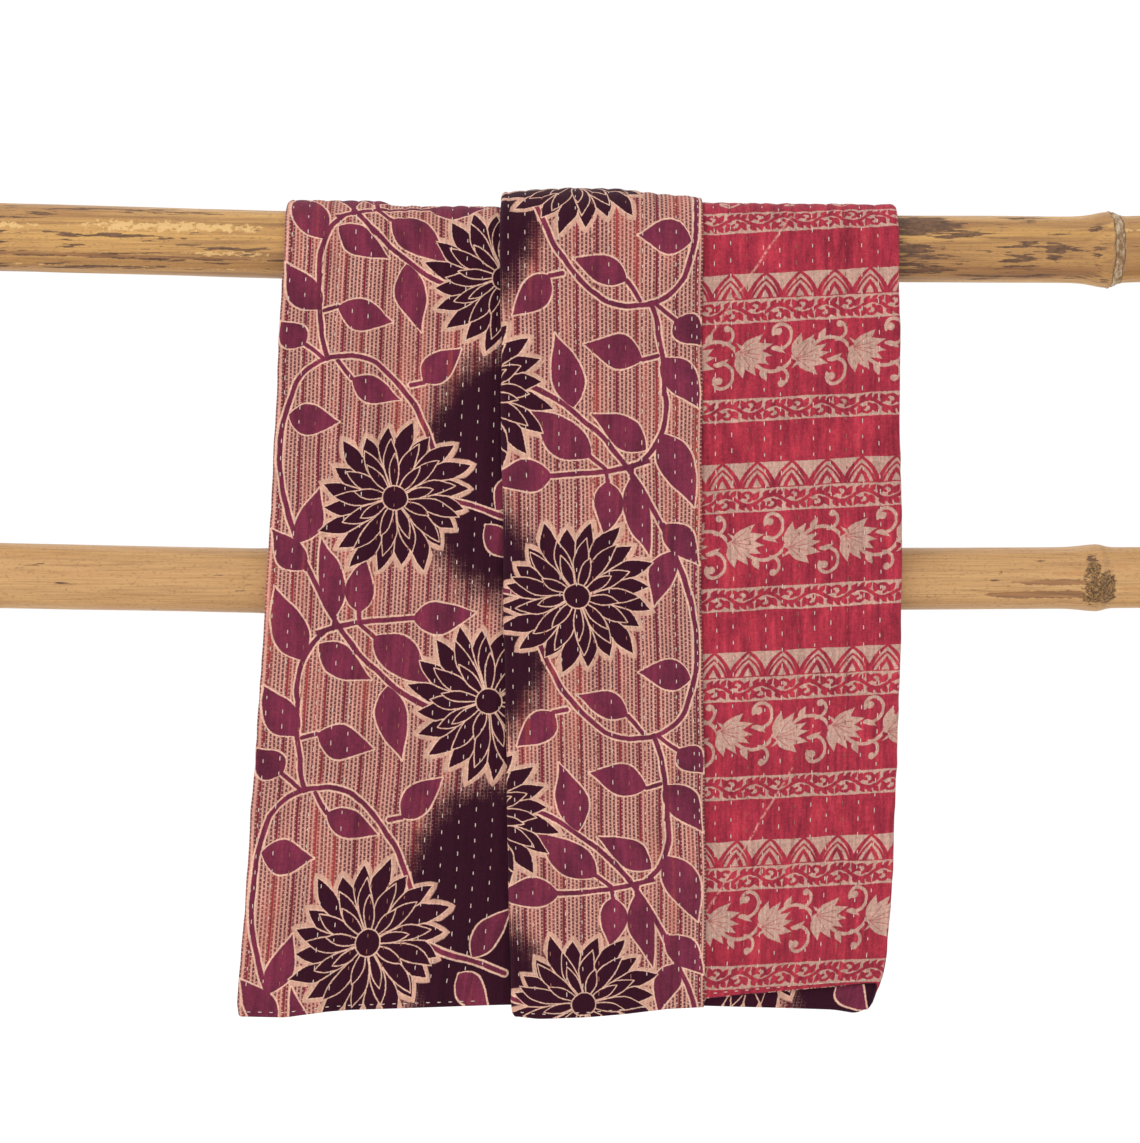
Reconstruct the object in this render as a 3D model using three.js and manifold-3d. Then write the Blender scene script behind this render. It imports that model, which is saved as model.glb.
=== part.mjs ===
// A patchwork quilt folded lengthwise in three and hung over the top rail of a bamboo rack.
// Millimetres, +Z up, origin on the floor under the middle of the rack. The front faces -Y.

import * as THREE from 'three';
import * as BufferGeometryUtils from 'three/addons/utils/BufferGeometryUtils.js';
import Module from 'manifold-3d';

const wasm = await Module();
wasm.setup();

// Rack
const railHalfLength = 760;
const postX = 680;
const postHeight = 1270;
const postRadius = 35;
const footHalfLength = 260;
const footRadius = 52;
const footFlat = 2; // planed off the underside
const socketFloor = 14; // height of the floor of the hole that the post stands in
const fitGap = 0.3;
const railGap = 0.6; // between a rail and the post that it is tied to
const cavityWall = 10;
const cavityDepth = 60;
const roundSides = 20;

// Centre line of each rail as [x, z]; bamboo bends at its nodes
const topRail = {
  radius: 36,
  line: [[-760, 1170.2], [-275, 1157], [140, 1154.9], [575, 1152.1], [760, 1158.8]],
  nodes: [[-275, 1.5], [140, 1.5], [575, 4.5]],
};
const lowerRail = {
  radius: 34,
  line: [[-760, 808], [-300, 798.5], [110, 800], [560, 802.3], [760, 804]],
  nodes: [[-300, 2], [110, 2], [560, 3.5]],
};
const stretcher = {
  radius: 34,
  line: [[-760, 153], [-240, 156], [250, 155], [760, 157]],
  nodes: [[-540, 3], [-150, 3], [240, 3], [585, 3]],
};
const railY = -(postRadius + topRail.radius + railGap);

// Rope and pegs
const bandWidth = 22;
const ropeThickness = 7;
const ropeEase = 2; // what a band stands off the culms at its front and back
const bandBite = 0.5; // the outer band is bedded this far into the inner one
const pegRadius = 6;
const pegSink = 3; // each peg end lies this far under the surface
const boreRadius = pegRadius + fitGap;

// Quilt: three folds of one cloth, each a layer lying on the one before it
const foldThickness = 5.7;
const foldPitch = foldThickness + fitGap;
const saddleRadius = 39.5; // inside of the first fold, round the top rail
const saddleZ = 1155.6;
const backHemRise = 14; // the back hangs this much shorter than the front
const folds = [
  { name: 'under_fold', left: -299, right: 346, hem: [[-351, 343], [-66, 354], [320, 345]] },
  { name: 'turned_fold', left: -71, right: 346, hem: [[-60, 360], [139, 361], [331, 380]] },
  { name: 'top_fold', left: -71, right: 139, hem: [[-61, 344], [50, 347], [141, 353]] },
];

const bamboo = new THREE.MeshStandardMaterial({ color: 0xc29a61, roughness: 0.5, metalness: 0 });
const weatheredBamboo = new THREE.MeshStandardMaterial({ color: 0xb28a55, roughness: 0.6, metalness: 0 });
const rope = new THREE.MeshStandardMaterial({ color: 0x8a6a42, roughness: 0.95, metalness: 0 });
const pegWood = new THREE.MeshStandardMaterial({ color: 0xa67c4e, roughness: 0.7, metalness: 0 });
const floralCotton = new THREE.MeshStandardMaterial({ color: 0x7b3a4a, roughness: 0.9, metalness: 0 });
const redCotton = new THREE.MeshStandardMaterial({ color: 0xa23c46, roughness: 0.9, metalness: 0 });

const group = new THREE.Group();

function add(name, geometry, material) {
  geometry.computeVertexNormals();
  const mesh = new THREE.Mesh(geometry, material);
  mesh.name = name;
  group.add(mesh);
}

// Six times the volume inside an indexed triangle mesh; negative when its faces point in
function signedVolume(points, index) {
  const [a, b, c] = [new THREE.Vector3(), new THREE.Vector3(), new THREE.Vector3()];
  let total = 0;
  for (let i = 0; i < index.length; i += 3) {
    a.fromArray(points, 3 * index[i]);
    b.fromArray(points, 3 * index[i + 1]);
    c.fromArray(points, 3 * index[i + 2]);
    total += a.dot(b.cross(c));
  }
  return total;
}

// Merges shared vertices, drops collapsed triangles and turns the faces outwards
function closed(source) {
  const bare = new THREE.BufferGeometry();
  bare.setAttribute('position', source.getAttribute('position'));
  bare.setIndex(source.index);
  const merged = BufferGeometryUtils.mergeVertices(bare, 1e-3);
  const points = merged.getAttribute('position').array;
  let index = [];
  for (let i = 0; i < merged.index.count; i += 3) {
    const [p, q, r] = [0, 1, 2].map((k) => merged.index.getX(i + k));
    if (p !== q && q !== r && r !== p) index.push(p, q, r);
  }
  if (signedVolume(points, index) < 0) index = index.reverse();
  merged.setIndex(index);
  return merged;
}

function toSolid(geometry) {
  const vertProperties = new Float32Array(geometry.getAttribute('position').array);
  const triVerts = new Uint32Array(geometry.index.array);
  return new wasm.Manifold(new wasm.Mesh({ numProp: 3, vertProperties, triVerts }));
}

function toGeometry(solid) {
  const { vertProperties, triVerts } = solid.getMesh();
  const geometry = new THREE.BufferGeometry();
  geometry.setAttribute('position', new THREE.BufferAttribute(vertProperties, 3));
  geometry.setIndex(new THREE.BufferAttribute(triVerts, 1));
  return geometry;
}

function cut(geometry, ...cutters) {
  return toGeometry(cutters.reduce((solid, cutter) => solid.subtract(toSolid(cutter)), toSolid(geometry)));
}

// Height of a rail's centre at x, straight from one point of its line to the next
function heightAt(line, x) {
  const next = Math.max(1, line.findIndex(([px]) => px >= x));
  const [x0, z0] = line[next - 1];
  const [x1, z1] = line[next];
  return z0 + ((z1 - z0) * (x - x0)) / (x1 - x0);
}

// Outline of a culm along its length: a swelling at each node and an open cell at each end
function culmProfile(radius, start, end, nodes) {
  const inner = radius - cavityWall;
  const outline = [[0, start + cavityDepth], [inner, start + cavityDepth], [inner, start], [radius, start]];
  for (const [at, swell] of nodes) {
    outline.push([radius, at - 20], [radius + swell, at - 5], [radius + 0.5 * swell, at]);
    outline.push([radius + swell, at + 4], [radius, at + 15]);
  }
  outline.push([radius, end], [inner, end], [inner, end - cavityDepth], [0, end - cavityDepth]);
  return outline.map(([r, s]) => new THREE.Vector2(r, s));
}

// A culm along X that follows its rail's centre line
function railCulm({ radius, line, nodes }) {
  const profile = culmProfile(radius, -railHalfLength, railHalfLength, nodes);
  const geometry = new THREE.LatheGeometry(profile, roundSides);
  geometry.rotateZ(-Math.PI / 2);
  const place = geometry.getAttribute('position');
  for (let i = 0; i < place.count; i++) {
    place.setY(i, place.getY(i) + railY);
    place.setZ(i, place.getZ(i) + heightAt(line, place.getX(i)));
  }
  return closed(geometry);
}

function postCulm(x, nodes) {
  const start = socketFloor + fitGap;
  const geometry = new THREE.LatheGeometry(culmProfile(postRadius, start, postHeight, nodes), roundSides);
  geometry.rotateX(Math.PI / 2);
  geometry.translate(x, 0, 0);
  return closed(geometry);
}

// A straight bar of round section from one point to another
function rod(radius, from, to) {
  const [a, b] = [new THREE.Vector3(...from), new THREE.Vector3(...to)];
  const along = b.clone().sub(a);
  const geometry = new THREE.CylinderGeometry(radius, radius, along.length(), 12);
  geometry.applyQuaternion(new THREE.Quaternion().setFromUnitVectors(new THREE.Vector3(0, 1, 0), along.normalize()));
  geometry.translate(...a.add(b).multiplyScalar(0.5).toArray());
  return closed(geometry);
}

// A thick culm from front to back, planed flat underneath, with a hole for the post
function footCulm(x) {
  const nodes = [[-170, 3], [150, 3]];
  const profile = culmProfile(footRadius, -footHalfLength, footHalfLength, nodes);
  const geometry = new THREE.LatheGeometry(profile, roundSides + 4);
  geometry.translate(x, 0, footRadius - footFlat);
  const slab = new THREE.BoxGeometry(4 * footRadius, 3 * footHalfLength, 40);
  slab.translate(x, 0, -20);
  const socket = new THREE.CylinderGeometry(postRadius + 5, postRadius + 5, 200, roundSides);
  socket.rotateX(Math.PI / 2);
  socket.translate(x, 0, socketFloor + 100);
  return cut(closed(geometry), closed(slab), closed(socket), footPeg(x, boreRadius, 3 * footRadius));
}

function footPeg(x, radius, length) {
  const z = footRadius - footFlat;
  return rod(radius, [x - length / 2, 0, z], [x + length / 2, 0, z]);
}

// A peg from the front of a rail to the back of a post, or the bore for it
function railPeg(x, rail, radius, beyond) {
  const z = heightAt(rail.line, x);
  return rod(radius, [x, railY - rail.radius - beyond, z], [x, postRadius + beyond, z]);
}

function roundedLoop(halfWidth, front, back, radius) {
  const loop = new THREE.Shape();
  const side = halfWidth - radius;
  loop.absarc(side, front + radius, radius, -Math.PI / 2, 0, false);
  loop.absarc(side, back - radius, radius, 0, Math.PI / 2, false);
  loop.absarc(-side, back - radius, radius, Math.PI / 2, Math.PI, false);
  loop.absarc(-side, front + radius, radius, Math.PI, 1.5 * Math.PI, false);
  return loop;
}

// One diagonal band of rope turns round a post and a rail, standing off them by offset
function ropeBand(x, z, railRadius, turn, offset) {
  const slantReach = Math.SQRT2 * Math.max(postRadius, railRadius) + bandWidth / 2;
  const ease = ropeEase + offset;
  const inner = [slantReach + ease, railY - railRadius - ease, postRadius + ease, postRadius + ease];
  const outer = inner.map((value, i) => value + (i === 1 ? -ropeThickness : ropeThickness));
  const loop = roundedLoop(...outer);
  loop.holes.push(roundedLoop(...inner));
  const geometry = new THREE.ExtrudeGeometry(loop, { depth: bandWidth, bevelEnabled: false, curveSegments: 5 });
  geometry.translate(0, 0, -bandWidth / 2);
  geometry.rotateY(turn);
  geometry.translate(x, 0, z);
  return closed(geometry);
}

function lashing(x, rail) {
  const z = heightAt(rail.line, x);
  const under = toSolid(ropeBand(x, z, rail.radius, Math.PI / 4, 0));
  const over = toSolid(ropeBand(x, z, rail.radius, -Math.PI / 4, ropeThickness - bandBite));
  return toGeometry(under.add(over));
}

// One fold of the quilt bent over the top rail
function foldSaddle(fold, layer) {
  const inner = saddleRadius + layer * foldPitch;
  const arch = new THREE.Shape();
  arch.absarc(0, 0, inner + foldThickness, 0, Math.PI, false);
  arch.absarc(0, 0, inner, Math.PI, 0, true);
  const depth = fold.right - fold.left;
  const geometry = new THREE.ExtrudeGeometry(arch, { depth, bevelEnabled: false, curveSegments: 12 });
  geometry.rotateX(Math.PI / 2);
  geometry.rotateZ(Math.PI / 2);
  geometry.translate(fold.left, railY, saddleZ);
  return closed(geometry);
}

// One fold hanging straight down on the side given by -1 (front) or 1 (back)
function foldDrop(fold, layer, side) {
  const rise = side > 0 ? backHemRise : 0;
  const top = saddleZ - fitGap;
  const outline = new THREE.Shape();
  outline.moveTo(fold.left, top);
  for (const [x, z] of fold.hem) outline.lineTo(x, z + rise);
  outline.lineTo(fold.right, top);
  outline.closePath();
  const geometry = new THREE.ExtrudeGeometry(outline, { depth: foldThickness, bevelEnabled: false });
  geometry.rotateX(Math.PI / 2);
  const inner = saddleRadius + layer * foldPitch;
  const front = side < 0 ? railY - inner : railY + inner + foldThickness;
  geometry.translate(0, front, 0);
  return closed(geometry);
}

const rails = { top: topRail, lower: lowerRail, stretcher };
const railMaterials = { top: weatheredBamboo, lower: bamboo, stretcher: bamboo };
const railNodes = { top: 'top_rail', lower: 'lower_rail', stretcher: 'stretcher' };

for (const [key, rail] of Object.entries(rails)) {
  const bores = [-postX, postX].map((x) => railPeg(x, rail, boreRadius, postRadius));
  add(railNodes[key], cut(railCulm(rail), ...bores), railMaterials[key]);
}

const postNodes = [[330, 3], [620, 3], [960, 3]];
for (const [side, x] of [['left', -postX], ['right', postX]]) {
  const bores = Object.values(rails).map((rail) => railPeg(x, rail, boreRadius, postRadius));
  bores.push(footPeg(x, boreRadius, 3 * footRadius));
  add(`${side}_post`, cut(postCulm(x, postNodes), ...bores), bamboo);
  add(`${side}_foot`, footCulm(x), bamboo);
  add(`${side}_foot_peg`, footPeg(x, pegRadius, 2 * (footRadius - pegSink)), pegWood);
  for (const [key, rail] of Object.entries(rails)) {
    add(`${key}_${side}_peg`, railPeg(x, rail, pegRadius, -pegSink), pegWood);
    add(`${key}_${side}_lashing`, lashing(x, rail), rope);
  }
}

folds.forEach((fold, layer) => {
  const cloth = fold.name === 'turned_fold' ? redCotton : floralCotton;
  add(`saddle_${fold.name}`, foldSaddle(fold, layer), cloth);
  add(`front_${fold.name}`, foldDrop(fold, layer, -1), cloth);
  add(`back_${fold.name}`, foldDrop(fold, layer, 1), cloth);
});

export default group;
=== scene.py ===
# A hand-stitched quilt, folded lengthwise in three and hung over the top rail of a bamboo rack.
# Metres, +Z up, the front faces -Y. The rack stands on the floor at z = 0.
import math

import bpy
import numpy as np
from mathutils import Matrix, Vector


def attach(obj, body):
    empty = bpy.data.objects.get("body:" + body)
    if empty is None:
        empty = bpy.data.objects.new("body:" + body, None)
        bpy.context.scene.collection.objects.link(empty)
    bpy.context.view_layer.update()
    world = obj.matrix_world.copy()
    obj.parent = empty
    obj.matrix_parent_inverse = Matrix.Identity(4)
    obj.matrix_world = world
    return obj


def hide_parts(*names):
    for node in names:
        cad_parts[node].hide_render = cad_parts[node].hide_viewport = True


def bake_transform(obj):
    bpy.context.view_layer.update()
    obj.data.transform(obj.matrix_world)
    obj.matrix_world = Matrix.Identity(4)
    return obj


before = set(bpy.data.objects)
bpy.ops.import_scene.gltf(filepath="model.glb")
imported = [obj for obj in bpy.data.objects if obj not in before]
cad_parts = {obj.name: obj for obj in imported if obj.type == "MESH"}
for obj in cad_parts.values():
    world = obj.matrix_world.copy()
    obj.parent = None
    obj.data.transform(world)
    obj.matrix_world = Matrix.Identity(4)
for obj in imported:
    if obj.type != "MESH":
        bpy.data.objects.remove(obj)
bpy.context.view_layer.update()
print("frame loaded")


# Faces of a grid of points, row after row; wrap joins the last column to the first
def gridFaces(rows, cols, first=0, flip=False, wrap=False):
    r = np.arange(rows - 1)[:, None]
    c = np.arange(cols if wrap else cols - 1)[None, :]
    right = (c + 1) % cols
    quads = np.stack([r * cols + c, r * cols + right, (r + 1) * cols + right, (r + 1) * cols + c], -1)
    quads = first + quads.reshape(-1, 4)
    return quads[:, ::-1] if flip else quads


# A mesh from points (n, 3) and a list of face arrays, each (m, 3) or (m, 4)
def buildMesh(name, points, faceSets, materials, materialIndex=None, cornerUv=None):
    corners = np.concatenate([f.ravel() for f in faceSets]).astype(np.int32)
    sizes = np.concatenate([np.full(len(f), f.shape[1]) for f in faceSets])
    starts = np.concatenate([[0], np.cumsum(sizes)[:-1]]).astype(np.int32)
    mesh = bpy.data.meshes.new(name)
    mesh.vertices.add(len(points))
    mesh.vertices.foreach_set("co", np.asarray(points, np.float32).ravel())
    mesh.loops.add(len(corners))
    mesh.loops.foreach_set("vertex_index", corners)
    mesh.polygons.add(len(sizes))
    mesh.polygons.foreach_set("loop_start", starts)
    if materialIndex is not None:
        mesh.polygons.foreach_set("material_index", np.asarray(materialIndex, np.int32))
    if cornerUv is not None:
        mesh.uv_layers.new(name="cloth").data.foreach_set("uv", np.asarray(cornerUv, np.float32).ravel())
    for material in materials:
        mesh.materials.append(material)
    mesh.update(calc_edges=True)
    mesh.shade_smooth()
    piece = bpy.data.objects.new(name, mesh)
    bpy.context.collection.objects.link(piece)
    return piece


# Closed tubes in one mesh, each from rings (rows, sides, 3) and closed by a fan about its end rings' middles
def tubeMesh(name, tubes, material):
    points, faces, first = [], [], 0
    for rings in tubes:
        rows, sides = rings.shape[:2]
        side = np.arange(sides)
        after = (side + 1) % sides
        points += [rings.reshape(-1, 3), rings[:1].mean(1), rings[-1:].mean(1)]
        middle = first + rows * sides
        last = first + (rows - 1) * sides
        faces.append(gridFaces(rows, sides, first, wrap=True))
        faces.append(np.stack([np.full(sides, middle), first + after, first + side], 1))
        faces.append(np.stack([np.full(sides, middle + 1), last + side, last + after], 1))
        first = middle + 2
    return buildMesh(name, np.concatenate(points), faces, [material])


# Smooth noise from -1 to 1: random values on a lattice, eased from one lattice point to the next
def smoothNoise(x, y, cell, seed):
    lattice = np.random.default_rng(seed).uniform(-1, 1, (128, 128))
    gx, gy = np.broadcast_arrays(x / cell, y / cell)
    ix, iy = np.floor(gx).astype(int), np.floor(gy).astype(int)
    fx, fy = gx - ix, gy - iy
    wx, wy = fx * fx * (3 - 2 * fx), fy * fy * (3 - 2 * fy)
    corner = lambda i, j: lattice[(ix + i) % 128, (iy + j) % 128]
    low = corner(0, 0) * (1 - wx) + corner(1, 0) * wx
    high = corner(0, 1) * (1 - wx) + corner(1, 1) * wx
    return low * (1 - wy) + high * wy


def easeStep(x, low, high):
    t = np.clip((x - low) / (high - low), 0, 1)
    return t * t * (3 - 2 * t)


def srgb(r, g, b):
    linear = [c / 255 / 12.92 if c <= 10 else ((c / 255 + 0.055) / 1.055) ** 2.4 for c in (r, g, b)]
    return (*linear, 1)


def addNode(tree, kind):
    count = len(tree.nodes)
    node = tree.nodes.new(kind)
    node.location = (count // 14 * 190, -(count % 14) * 150)
    return node


def plug(tree, socket, source):
    if isinstance(source, bpy.types.NodeSocket):
        tree.links.new(source, socket)
    else:
        socket.default_value = source


def calc(tree, operation, *sources, clamp=False):
    node = addNode(tree, "ShaderNodeMath")
    node.operation = operation
    node.use_clamp = clamp
    for socket, source in zip(node.inputs, sources):
        plug(tree, socket, source)
    return node.outputs[0]


def plus(tree, a, b, clamp=False):
    return calc(tree, "ADD", a, b, clamp=clamp)


def minus(tree, a, b):
    return calc(tree, "SUBTRACT", a, b)


def times(tree, a, b):
    return calc(tree, "MULTIPLY", a, b)


def vec(tree, operation, *sources, out="Vector"):
    node = addNode(tree, "ShaderNodeVectorMath")
    node.operation = operation
    for socket, source in zip(node.inputs, sources):
        plug(tree, socket, source)
    return node.outputs[out]


def mixColour(tree, factor, a, b, blend="MIX"):
    node = addNode(tree, "ShaderNodeMix")
    node.data_type = "RGBA"
    node.blend_type = blend
    plug(tree, node.inputs[0], factor)
    plug(tree, node.inputs[6], a)
    plug(tree, node.inputs[7], b)
    return node.outputs[2]


def ramp(tree, source, low, high, toLow=0.0, toHigh=1.0):
    node = addNode(tree, "ShaderNodeMapRange")
    for socket, value in zip(node.inputs, (source, low, high, toLow, toHigh)):
        plug(tree, socket, value)
    return node.outputs[0]


def noise(tree, vector, scale, detail=2.0, roughness=0.5):
    node = addNode(tree, "ShaderNodeTexNoise")
    plug(tree, node.inputs["Vector"], vector)
    node.inputs["Scale"].default_value = scale
    node.inputs["Detail"].default_value = detail
    node.inputs["Roughness"].default_value = roughness
    return node.outputs[0]


def stretch(tree, vector, scale):
    return vec(tree, "MULTIPLY", vector, scale)


# Noise drawn out by a different amount along each axis
def grain(tree, vector, scale, detail=2.0, roughness=0.5):
    return noise(tree, stretch(tree, vector, scale), 1, detail, roughness)


# Length of a vector, and its dot product with another
def lengthOf(tree, vector):
    return vec(tree, "LENGTH", vector, out="Value")


def dot(tree, vector, other):
    return vec(tree, "DOT_PRODUCT", vector, other, out="Value")


def scaledBy(tree, vector, factor):
    node = addNode(tree, "ShaderNodeVectorMath")
    node.operation = "SCALE"
    plug(tree, node.inputs[0], vector)
    plug(tree, node.inputs["Scale"], factor)
    return node.outputs[0]


def makeGroup(name, inputs, outputs):
    tree = bpy.data.node_groups.new(name, "ShaderNodeTree")
    for label, (kind, default) in inputs.items():
        socket = tree.interface.new_socket(label, in_out="INPUT", socket_type="NodeSocket" + kind)
        socket.default_value = default
    for label, kind in outputs.items():
        tree.interface.new_socket(label, in_out="OUTPUT", socket_type="NodeSocket" + kind)
    return tree, addNode(tree, "NodeGroupInput").outputs, addNode(tree, "NodeGroupOutput").inputs


def useGroup(tree, group, **sources):
    node = addNode(tree, "ShaderNodeGroup")
    node.node_tree = group
    for label, source in sources.items():
        plug(tree, node.inputs[label], source)
    return node.outputs


def newMaterial(name):
    material = bpy.data.materials.new(name)
    material.use_nodes = True
    tree = material.node_tree
    tree.nodes.clear()
    output = addNode(tree, "ShaderNodeOutputMaterial")
    shader = addNode(tree, "ShaderNodeBsdfPrincipled")
    tree.links.new(shader.outputs[0], output.inputs["Surface"])
    return material, tree, shader


def bump(tree, shader, height, strength, distance):
    node = addNode(tree, "ShaderNodeBump")
    node.inputs["Strength"].default_value = strength
    node.inputs["Distance"].default_value = distance
    tree.links.new(height, node.inputs["Height"])
    tree.links.new(node.outputs[0], shader.inputs["Normal"])


def paint(tree, shader, colour, roughness, height, strength, distance):
    tree.links.new(colour, shader.inputs["Base Color"])
    tree.links.new(roughness, shader.inputs["Roughness"])
    bump(tree, shader, height, strength, distance)


def uvVector(tree):
    node = addNode(tree, "ShaderNodeUVMap")
    node.uv_map = "cloth"
    return node.outputs[0]


def objectVector(tree):
    return addNode(tree, "ShaderNodeTexCoord").outputs["Object"]


def attribute(tree, name):
    node = addNode(tree, "ShaderNodeAttribute")
    node.attribute_name = name
    return node.outputs["Fac"]


view = {
    "distance": 3.0, "height": 0.809, "frameWidth": 1.197, "clothY": -0.122,
    "keyPower": 46.0, "fillPower": 7.0, "worldStrength": 1.02,
}


def addCamera():
    data = bpy.data.cameras.new("camera")
    data.sensor_fit = "HORIZONTAL"
    data.sensor_width = 36
    data.lens = 36 * view["distance"] / view["frameWidth"]
    camera = bpy.data.objects.new("camera", data)
    camera.location = (0, view["clothY"] - view["distance"], view["height"])
    camera.rotation_euler = (math.pi / 2, 0, 0)
    bpy.context.collection.objects.link(camera)
    bpy.context.scene.camera = camera


def addAreaLight(name, place, target, power, size):
    data = bpy.data.lights.new(name, "AREA")
    data.energy = power
    data.shape = "RECTANGLE"
    data.size, data.size_y = size
    light = bpy.data.objects.new(name, data)
    light.location = place
    direction = np.subtract(target, place)
    light.rotation_euler = Vector(direction).to_track_quat("-Z", "Y").to_euler()
    bpy.context.collection.objects.link(light)


def addStudio():
    world = bpy.data.worlds.new("studio")
    world.use_nodes = True
    world.node_tree.nodes["Background"].inputs[0].default_value = (1, 1, 1, 1)
    world.node_tree.nodes["Background"].inputs[1].default_value = view["worldStrength"]
    bpy.context.scene.world = world
    bpy.context.scene.view_settings.view_transform = "Standard"
    material, tree, shader = newMaterial("paleFloor")
    shader.inputs["Base Color"].default_value = (0.99, 0.99, 0.99, 1)
    shader.inputs["Roughness"].default_value = 0.9
    half = 6.0
    corners = np.array([[-half, -half, 0], [half, -half, 0], [half, half, 0], [-half, half, 0]])
    buildMesh("floor", corners, [np.array([[0, 1, 2, 3]])], [material])

    addAreaLight("key", (-3.2, -2.1, 2.8), (0, 0, 0.85), view["keyPower"], (2.2, 2.2))
    addAreaLight("fill", (2.4, -3.0, 1.4), (0, 0, 0.8), view["fillPower"], (2.0, 2.0))
    addAreaLight("back", (0, 2.6, 3.0), (0, 0, 0.9), view["fillPower"], (2.0, 2.0))


railDepth = -0.0716  # y of the rails' centre lines
culms = {
    "top_rail": {
        "axis": "x", "ends": (-0.76, 0.76), "radii": (0.0362, 0.0352), "at": (railDepth, 0),
        "slot": "weathered_bamboo",
        "line": [(-0.76, 1.1702), (-0.275, 1.157), (0.14, 1.1549), (0.575, 1.1521), (0.76, 1.1588)],
        "nodes": [(-0.275, 0.001, 0.3), (0.14, 0.001, 0.3), (0.574, 0.0052, 1)],
        "marks": [(0.37, 0.52, 222, 0.0016, 0.0004), (-0.66, -0.34, 214, 0.0011, 0.0003)],
        "patches": [
            ("pale", -0.66, 166, 0.1, 0.006, 1), ("pale", -0.42, 160, 0.11, 0.007, 1),
            ("pale", -0.36, 205, 0.05, 0.004, 0.9), ("dirt", -0.5, 178, 0.14, 0.003, 0.8),
            ("dirt", -0.42, 216, 0.12, 0.003, 1), ("dirt", -0.36, 196, 0.05, 0.006, 0.8),
            ("dirt", -0.5, 206, 0.24, 0.026, 0.46), ("dirt", -0.62, 140, 0.12, 0.012, 0.55),
            ("pale", -0.715, 150, 0.03, 0.01, 0.9), ("dirt", -0.6, 238, 0.2, 0.006, 0.75),
            ("dirt", -0.55, 126, 0.22, 0.006, 0.7), ("pale", -0.5, 236, 0.2, 0.002, 0.7),
            ("dirt", 0.34, 140, 0.09, 0.018, 1.5), ("dirt", 0.35, 192, 0.065, 0.015, 0.95),
            ("dirt", 0.35, 224, 0.075, 0.01, 1), ("dirt", 0.475, 204, 0.028, 0.018, 0.85),
            ("dirt", 0.48, 118, 0.032, 0.006, 0.95), ("dirt", 0.512, 184, 0.012, 0.024, 0.85),
            ("dirt", 0.48, 240, 0.11, 0.005, 0.9), ("dirt", 0.555, 148, 0.01, 0.005, 1),
            ("dirt", 0.552, 190, 0.01, 0.014, 0.72), ("dirt", 0.64, 196, 0.04, 0.005, 0.9),
            ("pale", 0.6, 150, 0.03, 0.004, 0.7), ("dirt", 0.44, 180, 0.16, 0.04, 0.4),
        ],
    },
    "lower_rail": {
        "axis": "x", "ends": (-0.76, 0.76), "radii": (0.0352, 0.0322), "at": (railDepth, 0), "slot": "bamboo",
        "line": [(-0.76, 0.808), (-0.3, 0.7985), (0.11, 0.8), (0.56, 0.8023), (0.76, 0.804)],
        "nodes": [(-0.3, 0.002, 0.4), (0.11, 0.002, 0.4), (0.562, 0.003, 0.12)],
        "marks": [(0.457, 0.548, 188, 0.0026, 0.0012), (0.428, 0.548, 213, 0.0044, 0.0014)],
        "patches": [
            ("root", 0.56, 200, 0.017, 0.019, 1.15), ("root", 0.553, 166, 0.008, 0.008, 1),
            ("dirt", 0.553, 142, 0.007, 0.006, 1), ("dirt", 0.5, 148, 0.008, 0.0014, 1),
            ("dirt", 0.449, 184, 0.006, 0.0012, 1), ("dirt", -0.515, 190, 0.03, 0.004, 0.62),
            ("dirt", -0.6, 158, 0.05, 0.005, 0.45), ("rust", 0.528, 172, 0.02, 0.0035, 0.9),
            ("rust", 0.592, 200, 0.014, 0.0035, 0.9), ("rust", 0.58, 160, 0.014, 0.004, 0.8),
        ],
    },
    "stretcher": {
        "axis": "x", "ends": (-0.76, 0.76), "radii": (0.034, 0.034), "at": (railDepth, 0), "slot": "bamboo",
        "line": [(-0.76, 0.153), (-0.24, 0.156), (0.25, 0.155), (0.76, 0.157)],
        "nodes": [(-0.54, 0.003, 0.7), (-0.15, 0.003, 0.7), (0.24, 0.003, 0.7), (0.585, 0.003, 0.7)],
        "marks": [], "patches": [],
    },
}
postX = 0.68
for side, x in (("left", -postX), ("right", postX)):
    culms[side + "_post"] = {
        "axis": "z", "ends": (0.0143, 1.27), "radii": (0.035, 0.0345), "at": (x, 0), "slot": "bamboo",
        "line": [(0, 0), (1.3, 0)], "marks": [], "patches": [],
        "nodes": [(0.33, 0.003, 0.7), (0.62, 0.003, 0.7), (0.96, 0.003, 0.7)],
    }
    culms[side + "_foot"] = {
        "axis": "y", "ends": (-0.26, 0.26), "radii": (0.052, 0.0515), "at": (x, 0.05), "slot": "bamboo",
        "line": [(-1, 0), (1, 0)], "marks": [], "patches": [],
        "nodes": [(-0.17, 0.003, 0.7), (0.15, 0.003, 0.7)],
    }
culmShape = {
    "sides": 96, "step": 0.004, "nodeStep": 0.0008, "nodeReach": 0.022,
    "wall": 0.009, "cellDepth": 0.06, "rimRound": 0.0012, "oval": 0.006, "uneven": 0.0004,
    "before": 0.022, "after": 0.009, "ragged": 0.0012, "ridge": (0.001, 0.0016, 0.0009),
    "crevice": (0.0016, 0.001, 0.0011), "flake": 0.0005, "randomPatches": 22,
}


# Stations along a culm: even steps, and finer ones beside each node
def culmStations(spec):
    start, end = spec["ends"]
    low, high = start + culmShape["rimRound"], end - culmShape["rimRound"]
    reach = culmShape["nodeReach"]
    along = [np.arange(low, high, culmShape["step"])]
    for at, _, _ in spec["nodes"]:
        along.append(np.arange(at - reach, at + reach, culmShape["nodeStep"]))
    along = np.unique(np.round(np.concatenate(along), 4))
    return np.concatenate([[low], along[(along > low) & (along < high)], [high]])


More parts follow.
